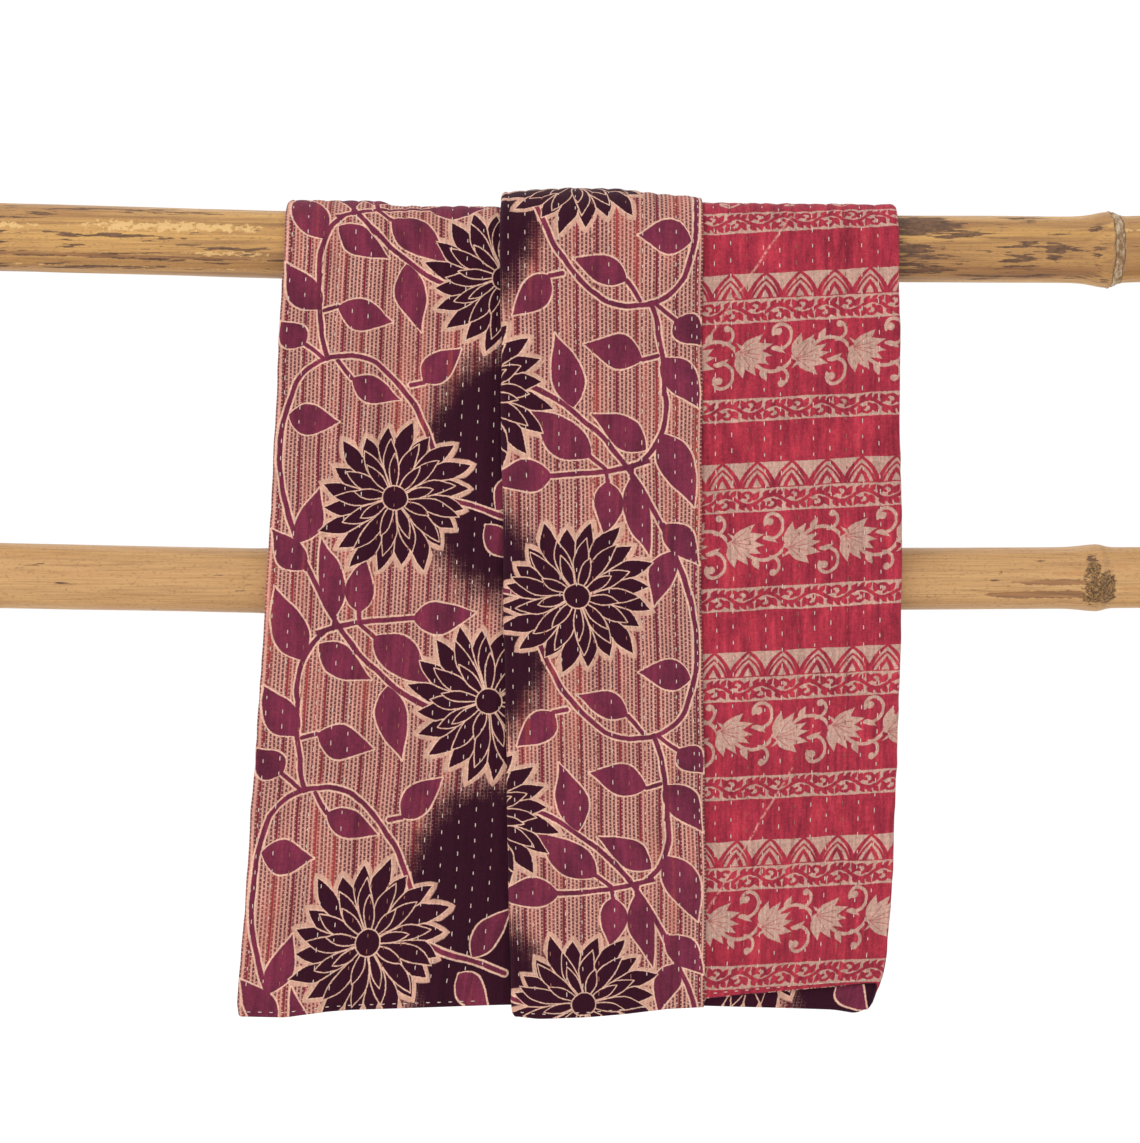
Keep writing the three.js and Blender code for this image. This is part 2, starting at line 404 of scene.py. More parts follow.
# Height of a rail's bent centre line at x, with each bend eased over 30 mm
def lineHeight(spec, along):
    x, height = np.array(spec["line"]).T
    return sum(np.interp(along + d, x, height) for d in (-0.015, 0, 0.015)) / 3


# Radius at (along, angle): a taper and slight ovalness; at each node a swelling that is longer before it than
# after, a ridge, a crevice, and a rough collar behind it; and a groove along each mark. With it go masks for
# the collars, the grooves and each kind of patch
def culmSkin(spec, along, angle, seed):
    start, end = spec["ends"]
    share = (along - start) / (end - start)
    radius = spec["radii"][0] + (spec["radii"][1] - spec["radii"][0]) * share
    radius = radius[:, None] * (1 + culmShape["oval"] * np.cos(2 * angle[None, :] + seed))
    turn = np.cos(angle)[None, :] + 1
    lift = np.sin(angle)[None, :] + 1
    uneven = smoothNoise(along[:, None] + 0 * turn, turn + 2 * lift, 0.09, seed)
    radius = radius + culmShape["uneven"] * uneven
    masks = {kind: np.zeros_like(radius) for kind in ("ring", "stain", "dirt", "pale", "root", "rust")}
    for at, swell, strength in spec["nodes"]:
        ragged = culmShape["ragged"] * smoothNoise(turn * 3, lift * 3, 0.5, seed + 1) * strength
        d = along[:, None] - at + ragged
        swellReach = np.where(d < 0, culmShape["before"], culmShape["after"])
        radius = radius + swell * np.exp(-((d / swellReach) ** 2))
        ahead, wide, tall = culmShape["ridge"]
        radius = radius + strength * tall * np.exp(-(((d + ahead) / wide) ** 2))
        behind, wide, deep = culmShape["crevice"]
        radius = radius - strength * deep * np.exp(-(((d - behind) / wide) ** 2))
        width = 0.004 + 1.7 * swell
        collar = easeStep(d, 0.0005, 0.002) * (1 - easeStep(d, width - 0.002, width))
        flaky = smoothNoise(along[:, None] + 0 * turn, 3 * turn + 5 * lift, 0.004, seed + 2)
        radius = radius + strength * collar * culmShape["flake"] * flaky
        masks["ring"] = np.maximum(masks["ring"], strength * collar)
    for low, high, degrees, width, depth in spec["marks"]:
        turnBy = (angle[None, :] - math.radians(degrees) + math.pi) % (2 * math.pi) - math.pi
        taper = 0.3 + 0.7 * easeStep(along, low, low + 0.45 * (high - low))
        across = np.abs(turnBy) * radius / (width * taper[:, None])
        length = easeStep(along, low, low + 0.02) * (1 - easeStep(along, high - 0.004, high))
        groove = np.exp(-(across ** 4)) * length[:, None]
        radius = radius - depth * groove
        masks["stain"] = np.maximum(masks["stain"], groove)
    random = np.random.default_rng(seed)
    own = spec["patches"] or [
        ("dirt" if random.random() < 0.7 else "rust", random.uniform(start, end), random.uniform(0, 360),
         random.uniform(0.01, 0.06), random.uniform(0.003, 0.009), random.uniform(0.6, 0.9))
        for _ in range(culmShape["randomPatches"])]
    for kind, at, degrees, length, width, strength in own:
        turnBy = (angle[None, :] - math.radians(degrees) + math.pi) % (2 * math.pi) - math.pi
        patch = np.exp(-((turnBy * radius / width) ** 2) - ((along[:, None] - at) / length) ** 4)
        masks[kind] = np.maximum(masks[kind], strength * patch)
    return radius, masks


# Rings of a culm: the open cell's floor, its wall and rim, the skin, and the same at the other end
def culmPiece(name, material):
    spec = culms[name]
    seed = sum(map(ord, name)) % 97
    along = culmStations(spec)
    angle = np.linspace(0, 2 * math.pi, culmShape["sides"], endpoint=False)
    radius, masks = culmSkin(spec, along, angle, seed)
    start, end = spec["ends"]
    wall, deep, rim = culmShape["wall"], culmShape["cellDepth"], culmShape["rimRound"]

    def endRows(edge, inward, skin):
        inner = skin - wall
        profile = [
            (edge + inward * deep, 0.3 * inner), (edge + inward * deep, 0.97 * inner),
            (edge + inward * (deep - 0.003), inner), (edge + inward * 2 * rim, inner),
            (edge + inward * 0.3 * rim, inner + 0.5 * rim), (edge, inner + 1.5 * rim),
            (edge, skin - 1.2 * rim), (edge + inward * 0.35 * rim, skin - 0.35 * rim),
        ]
        return [p[0] for p in profile], np.array([p[1] for p in profile])

    startAlong, startRadius = endRows(start, 1, radius[0])
    endAlong, endRadius = endRows(end, -1, radius[-1])
    along = np.concatenate([startAlong, along, endAlong[::-1]])
    radius = np.concatenate([startRadius, radius, endRadius[::-1]])
    pad = np.zeros((len(startAlong), len(angle)))
    one, two = spec["at"]
    first = one + radius * np.cos(angle)
    second = two + radius * np.sin(angle)
    reach = np.repeat(along[:, None], len(angle), 1)
    if spec["axis"] == "x":
        rings = np.stack([reach, first, second + lineHeight(spec, along)[:, None]], -1)
    elif spec["axis"] == "y":
        height = np.maximum(two + radius * np.cos(angle), 0)
        rings = np.stack([one + radius * np.sin(angle), reach, height], -1)
    else:
        rings = np.stack([first, second, reach], -1)
    piece = tubeMesh(name + "_culm", [rings], material)
    for label, mask in masks.items():
        values = np.concatenate([pad.ravel(), mask.ravel(), pad.ravel(), [0, 0]]).astype(np.float32)
        piece.data.attributes.new(label, "FLOAT", "POINT").data.foreach_set("value", values)
    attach(piece, "rack")
    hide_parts(name)
    return piece


surfaceOutputs = {"Color": "Color", "Roughness": "Float", "Height": "Float"}
skinMasks = {
    "Ring": "ring", "Stain": "stain", "Dirt": "dirt", "Pale": "pale", "Root": "root", "Rust": "rust",
}
skinInputs = {
    "Vector": ("Vector", (0, 0, 0)), "Light": ("Color", (1, 1, 1, 1)), "Dark": ("Color", (1, 1, 1, 1)),
    "Contrast": ("Float", 0.5), **{label: ("Float", 0) for label in skinMasks},
}


# Bamboo skin with its length along the vector's X: long drifts from light to dark, brown streaks and fine
# fibres; over them, each from its own mask with ragged edges, brown dirt, pale varnish, rust, grooves worn
# brown, root hairs and the grey flaking collar at a node
def makeSkinGroup():
    tree, given, result = makeGroup("bambooSkin", skinInputs, surfaceOutputs)
    place = given["Vector"]
    drift = grain(tree, place, (1.8, 34, 34), 4, 0.6)
    streak = grain(tree, place, (5, 150, 150), 4, 0.6)
    fibre = grain(tree, place, (16, 700, 700), 3, 0.6)
    speck = grain(tree, place, (240, 420, 420), 2)
    colour = mixColour(tree, ramp(tree, drift, 0.36, 0.64), given["Light"], given["Dark"])
    streakMask = times(tree, ramp(tree, streak, 0.5, 0.72), given["Contrast"])
    colour = mixColour(tree, streakMask, colour, srgb(126, 86, 52))
    colour = mixColour(tree, ramp(tree, fibre, 0.46, 0.74, 0, 0.6), colour, srgb(136, 94, 54))
    colour = mixColour(tree, ramp(tree, speck, 0.56, 0.72, 0, 0.4), colour, srgb(120, 80, 48))

    dashes = grain(tree, place, (24, 260, 260), 5, 0.6)
    torn = grain(tree, place, (120, 190, 190), 5, 0.7)

    def patch(mask, texture, reach, low, high):
        return ramp(tree, plus(tree, texture, times(tree, mask, reach)), low, high)

    pale = patch(given["Pale"], torn, 0.3, 0.7, 0.72)
    colour = mixColour(tree, pale, colour, mixColour(tree, streak, srgb(226, 188, 124), srgb(200, 154, 94)))
    dirt = patch(given["Dirt"], dashes, 0.3, 0.7, 0.72)
    brown = mixColour(tree, ramp(tree, torn, 0.4, 0.6), srgb(76, 52, 38), srgb(112, 78, 54))
    colour = mixColour(tree, times(tree, dirt, 0.94), colour, brown)
    rust = patch(given["Rust"], torn, 0.4, 0.68, 0.78)
    colour = mixColour(tree, times(tree, rust, 0.55), colour, srgb(184, 128, 74))
    stain = patch(given["Stain"], torn, 0.5, 0.66, 0.74)
    worn = mixColour(tree, ramp(tree, fibre, 0.4, 0.65), srgb(118, 78, 46), srgb(166, 116, 70))
    colour = mixColour(tree, times(tree, stain, 0.9), colour, worn)
    hairs = grain(tree, place, (520, 520, 520), 4, 0.75)
    root = patch(given["Root"], torn, 0.42, 0.64, 0.74)
    hairColour = mixColour(tree, ramp(tree, hairs, 0.44, 0.6), srgb(72, 50, 30), srgb(162, 120, 68))
    colour = mixColour(tree, root, colour, hairColour)
    flakes = grain(tree, place, (170, 80, 80), 5, 0.7)
    collar = ramp(tree, given["Ring"], 0.1, 0.6)
    flakeColour = mixColour(tree, ramp(tree, flakes, 0.42, 0.6), srgb(128, 94, 60), srgb(198, 176, 144))
    colour = mixColour(tree, collar, colour, flakeColour)
    rim = times(tree, times(tree, given["Ring"], minus(tree, 1, given["Ring"])), 3.4)
    colour = mixColour(tree, ramp(tree, rim, 0.3, 0.8, 0, 0.85), colour, srgb(84, 58, 38))
    tree.links.new(colour, result["Color"])

    rough = plus(tree, ramp(tree, fibre, 0.3, 0.7, 0.4, 0.5), times(tree, dirt, 0.25))
    rough = plus(tree, rough, times(tree, plus(tree, collar, root), 0.3), clamp=True)
    tree.links.new(rough, result["Roughness"])
    height = times(tree, fibre, 0.5)
    height = minus(tree, height, times(tree, dirt, 0.25))
    height = plus(tree, height, times(tree, pale, 0.3))
    height = plus(tree, height, times(tree, times(tree, root, hairs), 2))
    height = plus(tree, height, times(tree, times(tree, collar, flakes), 2))
    tree.links.new(height, result["Height"])
    return tree


# One bamboo material; turn lays the culm's length along X, as the skin group wants it
def bambooMaterial(name, turn, offset, light, dark, contrast):
    material, tree, shader = newMaterial(name)
    mapping = addNode(tree, "ShaderNodeMapping")
    mapping.inputs["Rotation"].default_value = turn
    mapping.inputs["Location"].default_value = (offset, 0, 0)
    tree.links.new(objectVector(tree), mapping.inputs["Vector"])
    masks = {label: attribute(tree, kind) for label, kind in skinMasks.items()}
    skin = useGroup(tree, skinGroup, Vector=mapping.outputs[0], Light=light, Dark=dark,
                    Contrast=contrast, **masks)
    paint(tree, shader, skin["Color"], skin["Roughness"], skin["Height"], 0.5, 0.0006)
    return material


skinGroup = makeSkinGroup()
tan, ochre, paleTan = srgb(192, 146, 92), srgb(170, 122, 70), srgb(202, 158, 102)
weatheredTan, weatheredBrown = srgb(208, 160, 90), srgb(160, 114, 64)
alongX, alongZ, alongY = (0, 0, 0), (0, math.pi / 2, 0), (0, 0, math.pi / 2)
bambooLooks = {
    "top_rail": bambooMaterial("weatheredBamboo", alongX, 0.0, weatheredTan, weatheredBrown, 0.9),
    "lower_rail": bambooMaterial("smoothBamboo", alongX, 4.0, paleTan, tan, 0.25),
    "stretcher": bambooMaterial("stretcherBamboo", alongX, 8.0, tan, ochre, 0.4),
}
for side, offset in (("left", 12.0), ("right", 16.0)):
    bambooLooks[side + "_post"] = bambooMaterial(side + "PostBamboo", alongZ, offset, tan, ochre, 0.4)
    bambooLooks[side + "_foot"] = bambooMaterial(side + "FootBamboo", alongY, offset + 2, tan, ochre, 0.4)


def addBamboo():
    for name in culms:
        culmPiece(name, bambooLooks[name])
    print("bamboo made")


ropeSpec = {
    "radius": 0.0029, "turns": 4, "lay": 0.017, "step": 0.0015, "sides": 12, "bead": 0.17, "gap": 0.0008,
    "postRadius": 0.0356,
}


# Points of a rope wound slantwise round a rail and a post: at every heading the rope lies on whichever
# culm's slice reaches further, a slice being an ellipse in the slanting plane of that turn
def windingPath(centre, railRadius, postRadius, slant, offset):
    heading = np.linspace(0, 2 * math.pi * ropeSpec["turns"], 400 * ropeSpec["turns"])
    spread = 2.08 * ropeSpec["radius"] * ropeSpec["turns"]
    aside = spread * (heading / heading[-1] - 0.5)
    cosine, sine = math.cos(slant), math.sin(slant)
    nu, ny = np.cos(heading), np.sin(heading)
    reach, points = [], []
    for radius, middle, depth, slope in (
        (railRadius, -aside * cosine / sine, railDepth, abs(sine)),
        (postRadius, aside * sine / cosine, 0, abs(cosine)),
    ):
        long = radius / slope
        support = np.sqrt((long * nu) ** 2 + (radius * ny) ** 2)
        reach.append(middle * nu + depth * ny + support)
        points.append(np.stack([middle + long ** 2 * nu / support, depth + radius ** 2 * ny / support], -1))
    plane = np.where((reach[0] > reach[1])[:, None], points[0], points[1]) + offset * np.stack([nu, ny], -1)
    x = centre[0] + plane[:, 0] * cosine - aside * sine
    z = centre[1] + plane[:, 0] * sine + aside * cosine
    return np.stack([x, plane[:, 1], z], -1)


# Points at even steps along a path
def evenly(path, step):
    length = np.concatenate([[0], np.cumsum(np.linalg.norm(np.diff(path, axis=0), axis=1))])
    at = np.arange(0, length[-1], step)
    return np.stack([np.interp(at, length, path[:, k]) for k in range(3)], -1), at


# A laid rope along a path: its radius dips three times round, and the dips turn with the lay
def ropeRings(path):
    centre, at = evenly(path, ropeSpec["step"])
    along = np.gradient(centre, axis=0)
    along /= np.linalg.norm(along, axis=1, keepdims=True)
    out = np.array([0, railDepth / 2, 0]) - centre
    out[:, 0] += centre[:, 0].mean()
    out[:, 2] += centre[:, 2].mean()
    out -= along * (out * along).sum(1, keepdims=True)
    out /= np.linalg.norm(out, axis=1, keepdims=True)
    beside = np.cross(along, out)
    angle = np.linspace(0, 2 * math.pi, ropeSpec["sides"], endpoint=False)
    strands = np.abs(np.cos(1.5 * (angle[None, :] - 2 * math.pi * at[:, None] / ropeSpec["lay"])))
    radius = ropeSpec["radius"] * (1 - 2 * ropeSpec["bead"] * (1 - strands))[..., None]
    taper = np.clip(np.minimum(at, at[-1] - at) / 0.006, 0.35, 1)[:, None, None]
    angle = angle[None, :, None]
    ring = np.cos(angle) * out[:, None, :] + np.sin(angle) * beside[:, None, :]
    return centre[:, None, :] + radius * taper * ring


def ropeMaterial():
    material, tree, shader = newMaterial("rope")
    place = objectVector(tree)
    fibre = grain(tree, place, (700, 700, 700), 4, 0.7)
    drift = noise(tree, place, 30, 3)
    colour = mixColour(tree, ramp(tree, fibre, 0.35, 0.7), srgb(104, 76, 46), srgb(176, 140, 92))
    colour = mixColour(tree, ramp(tree, drift, 0.4, 0.7, 0, 0.5), colour, srgb(132, 98, 60))
    paint(tree, shader, colour, ramp(tree, fibre, 0.3, 0.7, 0.8, 0.95), fibre, 0.8, 0.0006)
    return material


def addLashings():
    material = ropeMaterial()
    for railName, rail in (("top", "top_rail"), ("lower", "lower_rail"), ("stretcher", "stretcher")):
        for side, x in (("left", -postX), ("right", postX)):
            centre = (x, float(lineHeight(culms[rail], np.array([x]))[0]))
            railRadius = culms[rail]["radii"][0 if x < 0 else 1] + ropeSpec["gap"]
            windings = []
            for layer, slant in enumerate((math.pi / 4, -math.pi / 4)):
                offset = ropeSpec["radius"] * (1 + 2 * layer)
                path = windingPath(centre, railRadius, ropeSpec["postRadius"], slant, offset)
                windings.append(ropeRings(path))
            piece = tubeMesh(f"{railName}_{side}_rope", windings, material)
            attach(piece, "rack")
            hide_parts(f"{railName}_{side}_lashing")
    print("lashings made")


pin = {"halfLength": 0.0545, "radius": 0.006, "height": 0.05, "sides": 32}


# A peg across each foot: a straight rod whose ends are rounded over
def addPegs():
    material, tree, shader = newMaterial("pegWood")
    fibre = grain(tree, objectVector(tree), (30, 500, 500), 3)
    colour = mixColour(tree, fibre, srgb(140, 98, 58), srgb(190, 148, 100))
    paint(tree, shader, colour, ramp(tree, fibre, 0.3, 0.7, 0.6, 0.75), fibre, 0.4, 0.0004)
    half, sides = pin["halfLength"], pin["sides"]
    along = np.array([-half, -half + 0.0004, -half + 0.0015, half - 0.0015, half - 0.0004, half])
    size = pin["radius"] * np.array([0.72, 0.9, 1, 1, 0.9, 0.72])
    angle = np.linspace(0, 2 * math.pi, sides, endpoint=False)
    for side, x in (("left", -postX), ("right", postX)):
        rings = np.stack([
            np.repeat(x + along[:, None], sides, 1),
            size[:, None] * np.cos(angle), pin["height"] + size[:, None] * np.sin(angle)], -1)
        piece = tubeMesh(side + "_foot_pin", [rings], material)
        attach(piece, "rack")
        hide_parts(side + "_foot_peg")
    for name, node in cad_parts.items():
        if name.endswith("_peg"):
            node.data.materials.clear()
            node.data.materials.append(material)


# The quilt, one sheet folded lengthwise. Going across it from its first edge, it lies turned under by a
# strip, then left to right as the under layer, back again red side out as the red layer, and left to right
# once more as the top layer. Each edge and hem below is a line through the hanging cloth.
quilt = {
    "thickness": 0.0052, "pitch": 0.0057, "firstRadius": 0.0391, "flat": (1.36, 0.875),
    "arcRows": 13, "dropRows": 152, "hiddenColumn": 0.012, "turnColumns": 7, "levelEase": (0.004, 0.03),
    "underHeight": 0.8866, "topHeight": 0.7829, "backHemRise": 0.013,
    "edges": {  # (z, x) of the sheet's first edge, its three folds and its last edge
        "first": [(0.34, -0.25), (0.78, -0.226), (1.16, -0.214)],
        "left": [(0.346, -0.351), (0.49, -0.34), (0.632, -0.33), (0.837, -0.317), (1.15, -0.301),
                 (1.2, -0.3)],
        "right": [(0.345, 0.317), (0.372, 0.325), (0.4, 0.333), (0.49, 0.34), (0.779, 0.3497),
                  (1.15, 0.3465)],
        "inner": [(0.35, -0.062), (0.779, -0.07), (1.15, -0.0735)],
        "last": [(0.35, 0.1397), (0.49, 0.1417), (0.779, 0.1365), (1.15, 0.1386)],
    },
    "hems": {  # (x, z) of the lower edge of each layer
        "strip": [(-0.35, 0.3432), (-0.25, 0.349)],
        "under": [(-0.351, 0.3427), (-0.299, 0.3412), (-0.252, 0.3475), (-0.163, 0.3507), (-0.066, 0.3538),
                  (0.143, 0.3528), (0.28, 0.3486), (0.304, 0.3448), (0.314, 0.35), (0.324, 0.374)],
        "red": [(-0.058, 0.351), (-0.03, 0.357), (0.139, 0.361), (0.3, 0.376), (0.326, 0.38)],
        "top": [(-0.061, 0.3438), (-0.033, 0.3407), (0.02, 0.3427), (0.061, 0.3459), (0.103, 0.351),
                (0.139, 0.353)],
    },
    "crests": {  # (x, height) that each layer stands off over the rail
        "strip": [(-0.3, 0.0)], "under": [(-0.3, 0.0006), (-0.08, 0.001), (0.3, 0)],
        "red": [(0.14, 0.0006), (0.346, -0.0006)],
        "top": [(-0.0735, 0.004), (-0.04, 0.0078), (0.01, 0.0096), (0.05, 0.0092), (0.09, 0.0042),
                (0.115, 0.002), (0.139, 0.0012)],
    },
    "wave": 0.0017, "crinkle": 0.0009, "printRow": 90, "bendTop": 1.1756, "bendEnd": 1.0556,
    "crestHeight": 1.16, "hemHeight": 0.355, "waveLength": 0.026,
    "warpRange": (-0.35, 0.56), "warp": (1.036, 0.1067),
    "underShift": 0.1869, "topShift": 0.00735, "redShift": 1.1193, "redShear": 0.0513, "redLevelAt": 0.139,
}
stitching = {
    "rowSpacing": 0.0172, "pitch": 0.0168, "length": 0.0056, "radius": 0.00056, "firstRow": 0.0085,
    "grooveWidth": 0.0027, "grooveDepth": 0.42, "hemInset": 0.0042, "hemPitch": 0.0118,
    "hemLength": 0.0046, "colouredShare": 0.2,
}


# An edge's x at a height, its corners eased, with the small unevenness of cut cloth
def edgeAt(name, height):
    z, x = np.array(quilt["edges"][name]).T
    eased = sum(np.interp(height + d, z, x) for d in (-0.016, -0.008, 0, 0.008, 0.016)) / 5
    return eased + 0.0009 * smoothNoise(height, height * 0 + len(name), 0.055, 5)


def lineAt(table, layer, x):
    at, value = np.array(quilt[table][layer]).T
    return sum(np.interp(x + d, at, value) for d in (-0.004, 0, 0.004)) / 3


# One layer's columns, between two edges at the layer's reference height: five about each stitch row where
# it shows, and wider ones where it is covered
def layerColumns(layer, fromEdge, toEdge, height, shown, level):
    reach = (quilt["pitch"] + quilt["thickness"]) / 2
    insets = {"first": 0, "left": reach, "right": -reach, "inner": reach, "last": 0}
    start, end = (float(edgeAt(e, np.array([height]))[0]) + insets[e] for e in (fromEdge, toEdge))
    rows = np.arange(shown[0] + stitching["firstRow"], shown[1], stitching["rowSpacing"])
    rows = rows[(rows > min(start, end) + 0.002) & (rows < max(start, end) - 0.002)]
    fine = (rows[:, None] + np.array([-0.0062, -0.0026, 0, 0.0026, 0.0062])).ravel()
    wide = np.arange(min(start, end), max(start, end), quilt["hiddenColumn"])
    wide = wide[(wide < shown[0] - 0.003) | (wide > shown[1] + 0.003)]
    ends = [x for x, edge in ((start, fromEdge), (end, toEdge)) if edge in ("first", "last")]
    steps = np.array([0.034, 0.029, 0.024, 0.02, 0.016, 0.012, 0.008, 0.004])
    near = end - steps if layer == "under" else []
    x = np.unique(np.round(np.concatenate([fine, wide, near]), 5))
    x = x[(x > min(start, end) + 0.0012) & (x < max(start, end) - 0.0012)]
    x = np.unique(np.concatenate([x, ends]))
    x = x if end > start else x[::-1]
    isRow = (np.abs(x[:, None] - rows[None, :]) < 1e-4).any(1) if len(rows) else x < -9
    return {
        "layer": [layer] * len(x), "from": [fromEdge] * len(x), "to": [toEdge] * len(x),
        "fromInset": 0 * x + insets[fromEdge], "toInset": 0 * x + insets[toEdge],
        "share": (x - start) / (end - start), "level": level(x), "isRow": isRow, "x": x,
    }


# The columns round a fold: a half circle that climbs one level and bulges to the side (-1 left, +1 right)
def foldColumns(layer, edge, side, lowLevel):
    turn = np.linspace(-math.pi / 2, math.pi / 2, quilt["turnColumns"])
    inset = side * (quilt["pitch"] / 2 * np.cos(turn) - (quilt["pitch"] + quilt["thickness"]) / 2)
    blank = 0 * turn
    return {
        "layer": [layer] * len(turn), "from": [edge] * len(turn), "to": [edge] * len(turn),
        "fromInset": inset, "toInset": inset, "share": blank, "level": lowLevel + 0.5 + 0.5 * np.sin(turn),
        "isRow": blank > 1, "x": blank,
    }


def sheetColumns():
    height, topHeight = quilt["underHeight"], quilt["topHeight"]
    at = {e: float(edgeAt(e, np.array([height]))[0]) for e in quilt["edges"]}
    high = {e: float(edgeAt(e, np.array([topHeight]))[0]) for e in quilt["edges"]}
    low, wide = quilt["levelEase"]
    runs = [
        layerColumns("strip", "first", "left", height, (9, 9), lambda x: 0 * x),
        foldColumns("leftFold", "left", -1, 0),
        layerColumns("under", "left", "right", height, (at["left"], at["inner"] + 0.014),
                     lambda x: 1 - easeStep(x, at["first"] + low, at["first"] + wide)),
        foldColumns("rightFold", "right", 1, 0),
        layerColumns("red", "right", "inner", topHeight, (high["last"] - 0.008, high["right"]),
                     lambda x: 0 * x + 1),
        foldColumns("innerFold", "inner", -1, 1),
        layerColumns("top", "inner", "last", topHeight, (high["inner"], high["last"]),
                     lambda x: 0 * x + 2),
    ]
    return {key: np.concatenate([run[key] for run in runs]) for key in runs[0]}


# The middle surface of the quilt from the back hem over the rail to the front hem: each column follows a
# quarter circle round the rail on each side of the crest, then drops straight to its hem
def layMiddle(columns):
    arc, drop = quilt["arcRows"], quilt["dropRows"]
    row = np.arange(-arc - drop, arc + drop + 1)
    side = np.sign(row)[:, None]
    angle = (np.clip(np.abs(row) / arc, 0, 1) * math.pi / 2)[:, None]
    down = np.clip((np.abs(row) - arc) / drop, 0, 1)[:, None]

    def acrossAt(height):
        ends = []
        for key in ("from", "to"):
            x = np.zeros(np.broadcast(height, columns["share"]).shape)
            for edge in quilt["edges"]:
                mine = columns[key] == edge
                x[:, mine] = edgeAt(edge, np.broadcast_to(height, x.shape)[:, mine])
            ends.append(x + columns[key + "Inset"])
        return ends[0] * (1 - columns["share"]) + ends[1] * columns["share"]

    topX = acrossAt(np.array([[quilt["crestHeight"]]]))[0]
    hemX = acrossAt(np.array([[quilt["hemHeight"]]]))[0]
    hem, crest = np.zeros(len(topX)), np.zeros(len(topX))
    for layer in quilt["hems"]:
        mine = columns["layer"] == layer
        hem[mine] = lineAt("hems", layer, hemX[mine])
        crest[mine] = lineAt("crests", layer, topX[mine])
    for fold in ("leftFold", "rightFold", "innerFold"):
        mine = np.flatnonzero(columns["layer"] == fold)
        ease = easeStep(np.arange(len(mine)), 0, len(mine) - 1)
        for line in (hem, crest):
            line[mine] = line[mine[0] - 1] * (1 - ease) + line[mine[-1] + 1] * ease
    lean = columns["level"] * quilt["pitch"] + quilt["firstRadius"]
    railZ = lineHeight(culms["top_rail"], topX)
    height = railZ + (hem + quilt["backHemRise"] * (side < 0) - railZ) * down
    puff = crest * (0.3 + 0.7 * np.cos(angle)) * (1 - easeStep(down, 0.0, 0.45))
    reach = lean + puff
    z = height + reach * np.cos(angle)
    x = acrossAt(np.minimum(z, quilt["crestHeight"]))
    depth = easeStep(down, 0.02, 0.9)
    ripple = 1 + np.sin(x / quilt["waveLength"] + 2 * smoothNoise(x, z + 3 * side, 0.3, 11) + 1.5 * side)
    ripple = ripple + 1 + smoothNoise(x, z + 5 * side, 0.12, 12)
    y = railDepth - side * (reach * np.sin(angle) + depth * quilt["wave"] * ripple / 1.6)
    fallen = side * (reach * angle + (railZ - height)) + 0 * x
    return {"middle": np.stack([x, y, z], -1), "fallen": fallen, "quarter": reach * math.pi / 2,
            "railZ": railZ, "side": side}


# Unit normals of a grid of points, on the side that the flowers are printed
def gridNormals(points):
    alongRow, alongColumn = np.gradient(points, axis=0), np.gradient(points, axis=1)
    normal = np.cross(alongRow, alongColumn)
    return normal / np.linalg.norm(normal, axis=-1, keepdims=True)


# Distance along the sheet's width, measured on a row of the front drop
def flatAcross(laid):
    row = laid["middle"][quilt["arcRows"] + quilt["dropRows"] + quilt["printRow"]]
    return np.concatenate([[0], np.cumsum(np.linalg.norm(np.diff(row, axis=0), axis=1))])


# Both faces of the quilt: the middle moved out by half the thickness each way, less a groove at each stitch
# row that is deepest under its stitches, and thinner at the cut edges
def layFaces(columns, laid):
    across = flatAcross(laid)
    random = np.random.default_rng(21)
    rows = np.flatnonzero(columns["isRow"])
    phase = random.uniform(0, 1, len(rows))
    nearest = np.abs(across[:, None] - across[rows][None, :]).argmin(1)
    gap = np.abs(across - across[rows][nearest])
    gap = np.where(columns["layer"] == columns["layer"][rows][nearest], gap, 1)
    groove = np.exp(-((gap / stitching["grooveWidth"]) ** 2))[None, :] * stitching["grooveDepth"]
    beat = 0.5 + 0.5 * np.cos(2 * math.pi * (laid["fallen"] / stitching["pitch"] - phase[nearest][None, :]))
    fromHem = np.minimum(laid["fallen"] - laid["fallen"][:1], laid["fallen"][-1:] - laid["fallen"])
    fromEdge = np.minimum(np.minimum(across, across[-1] - across)[None, :], fromHem)
    half = quilt["thickness"] / 2 * (0.5 + 0.5 * easeStep(fromEdge, 0, 0.007))
    hemLine = np.exp(-(((fromEdge - stitching["hemInset"]) / 0.0022) ** 2)) * 0.3
    x, z = laid["middle"][..., 0], laid["middle"][..., 2] + 4 * laid["side"]
    crinkle = smoothNoise(x, z * 0.5, 0.007, 31) + 0.8 * smoothNoise(x, z, 0.017, 32)
    pucker = quilt["crinkle"] * crinkle * (1 - groove)
    normal = gridNormals(laid["middle"])
    reach = half * (1 - hemLine)
    faces = []
    for sign, pulse in ((1, beat), (-1, 1 - beat)):
        lift = reach * (1 - groove * (0.7 + 0.6 * pulse)) + pucker * 0.5 * sign
        faces.append(laid["middle"] + sign * lift[..., None] * normal)
    return faces, normal, across, rows, phase, half


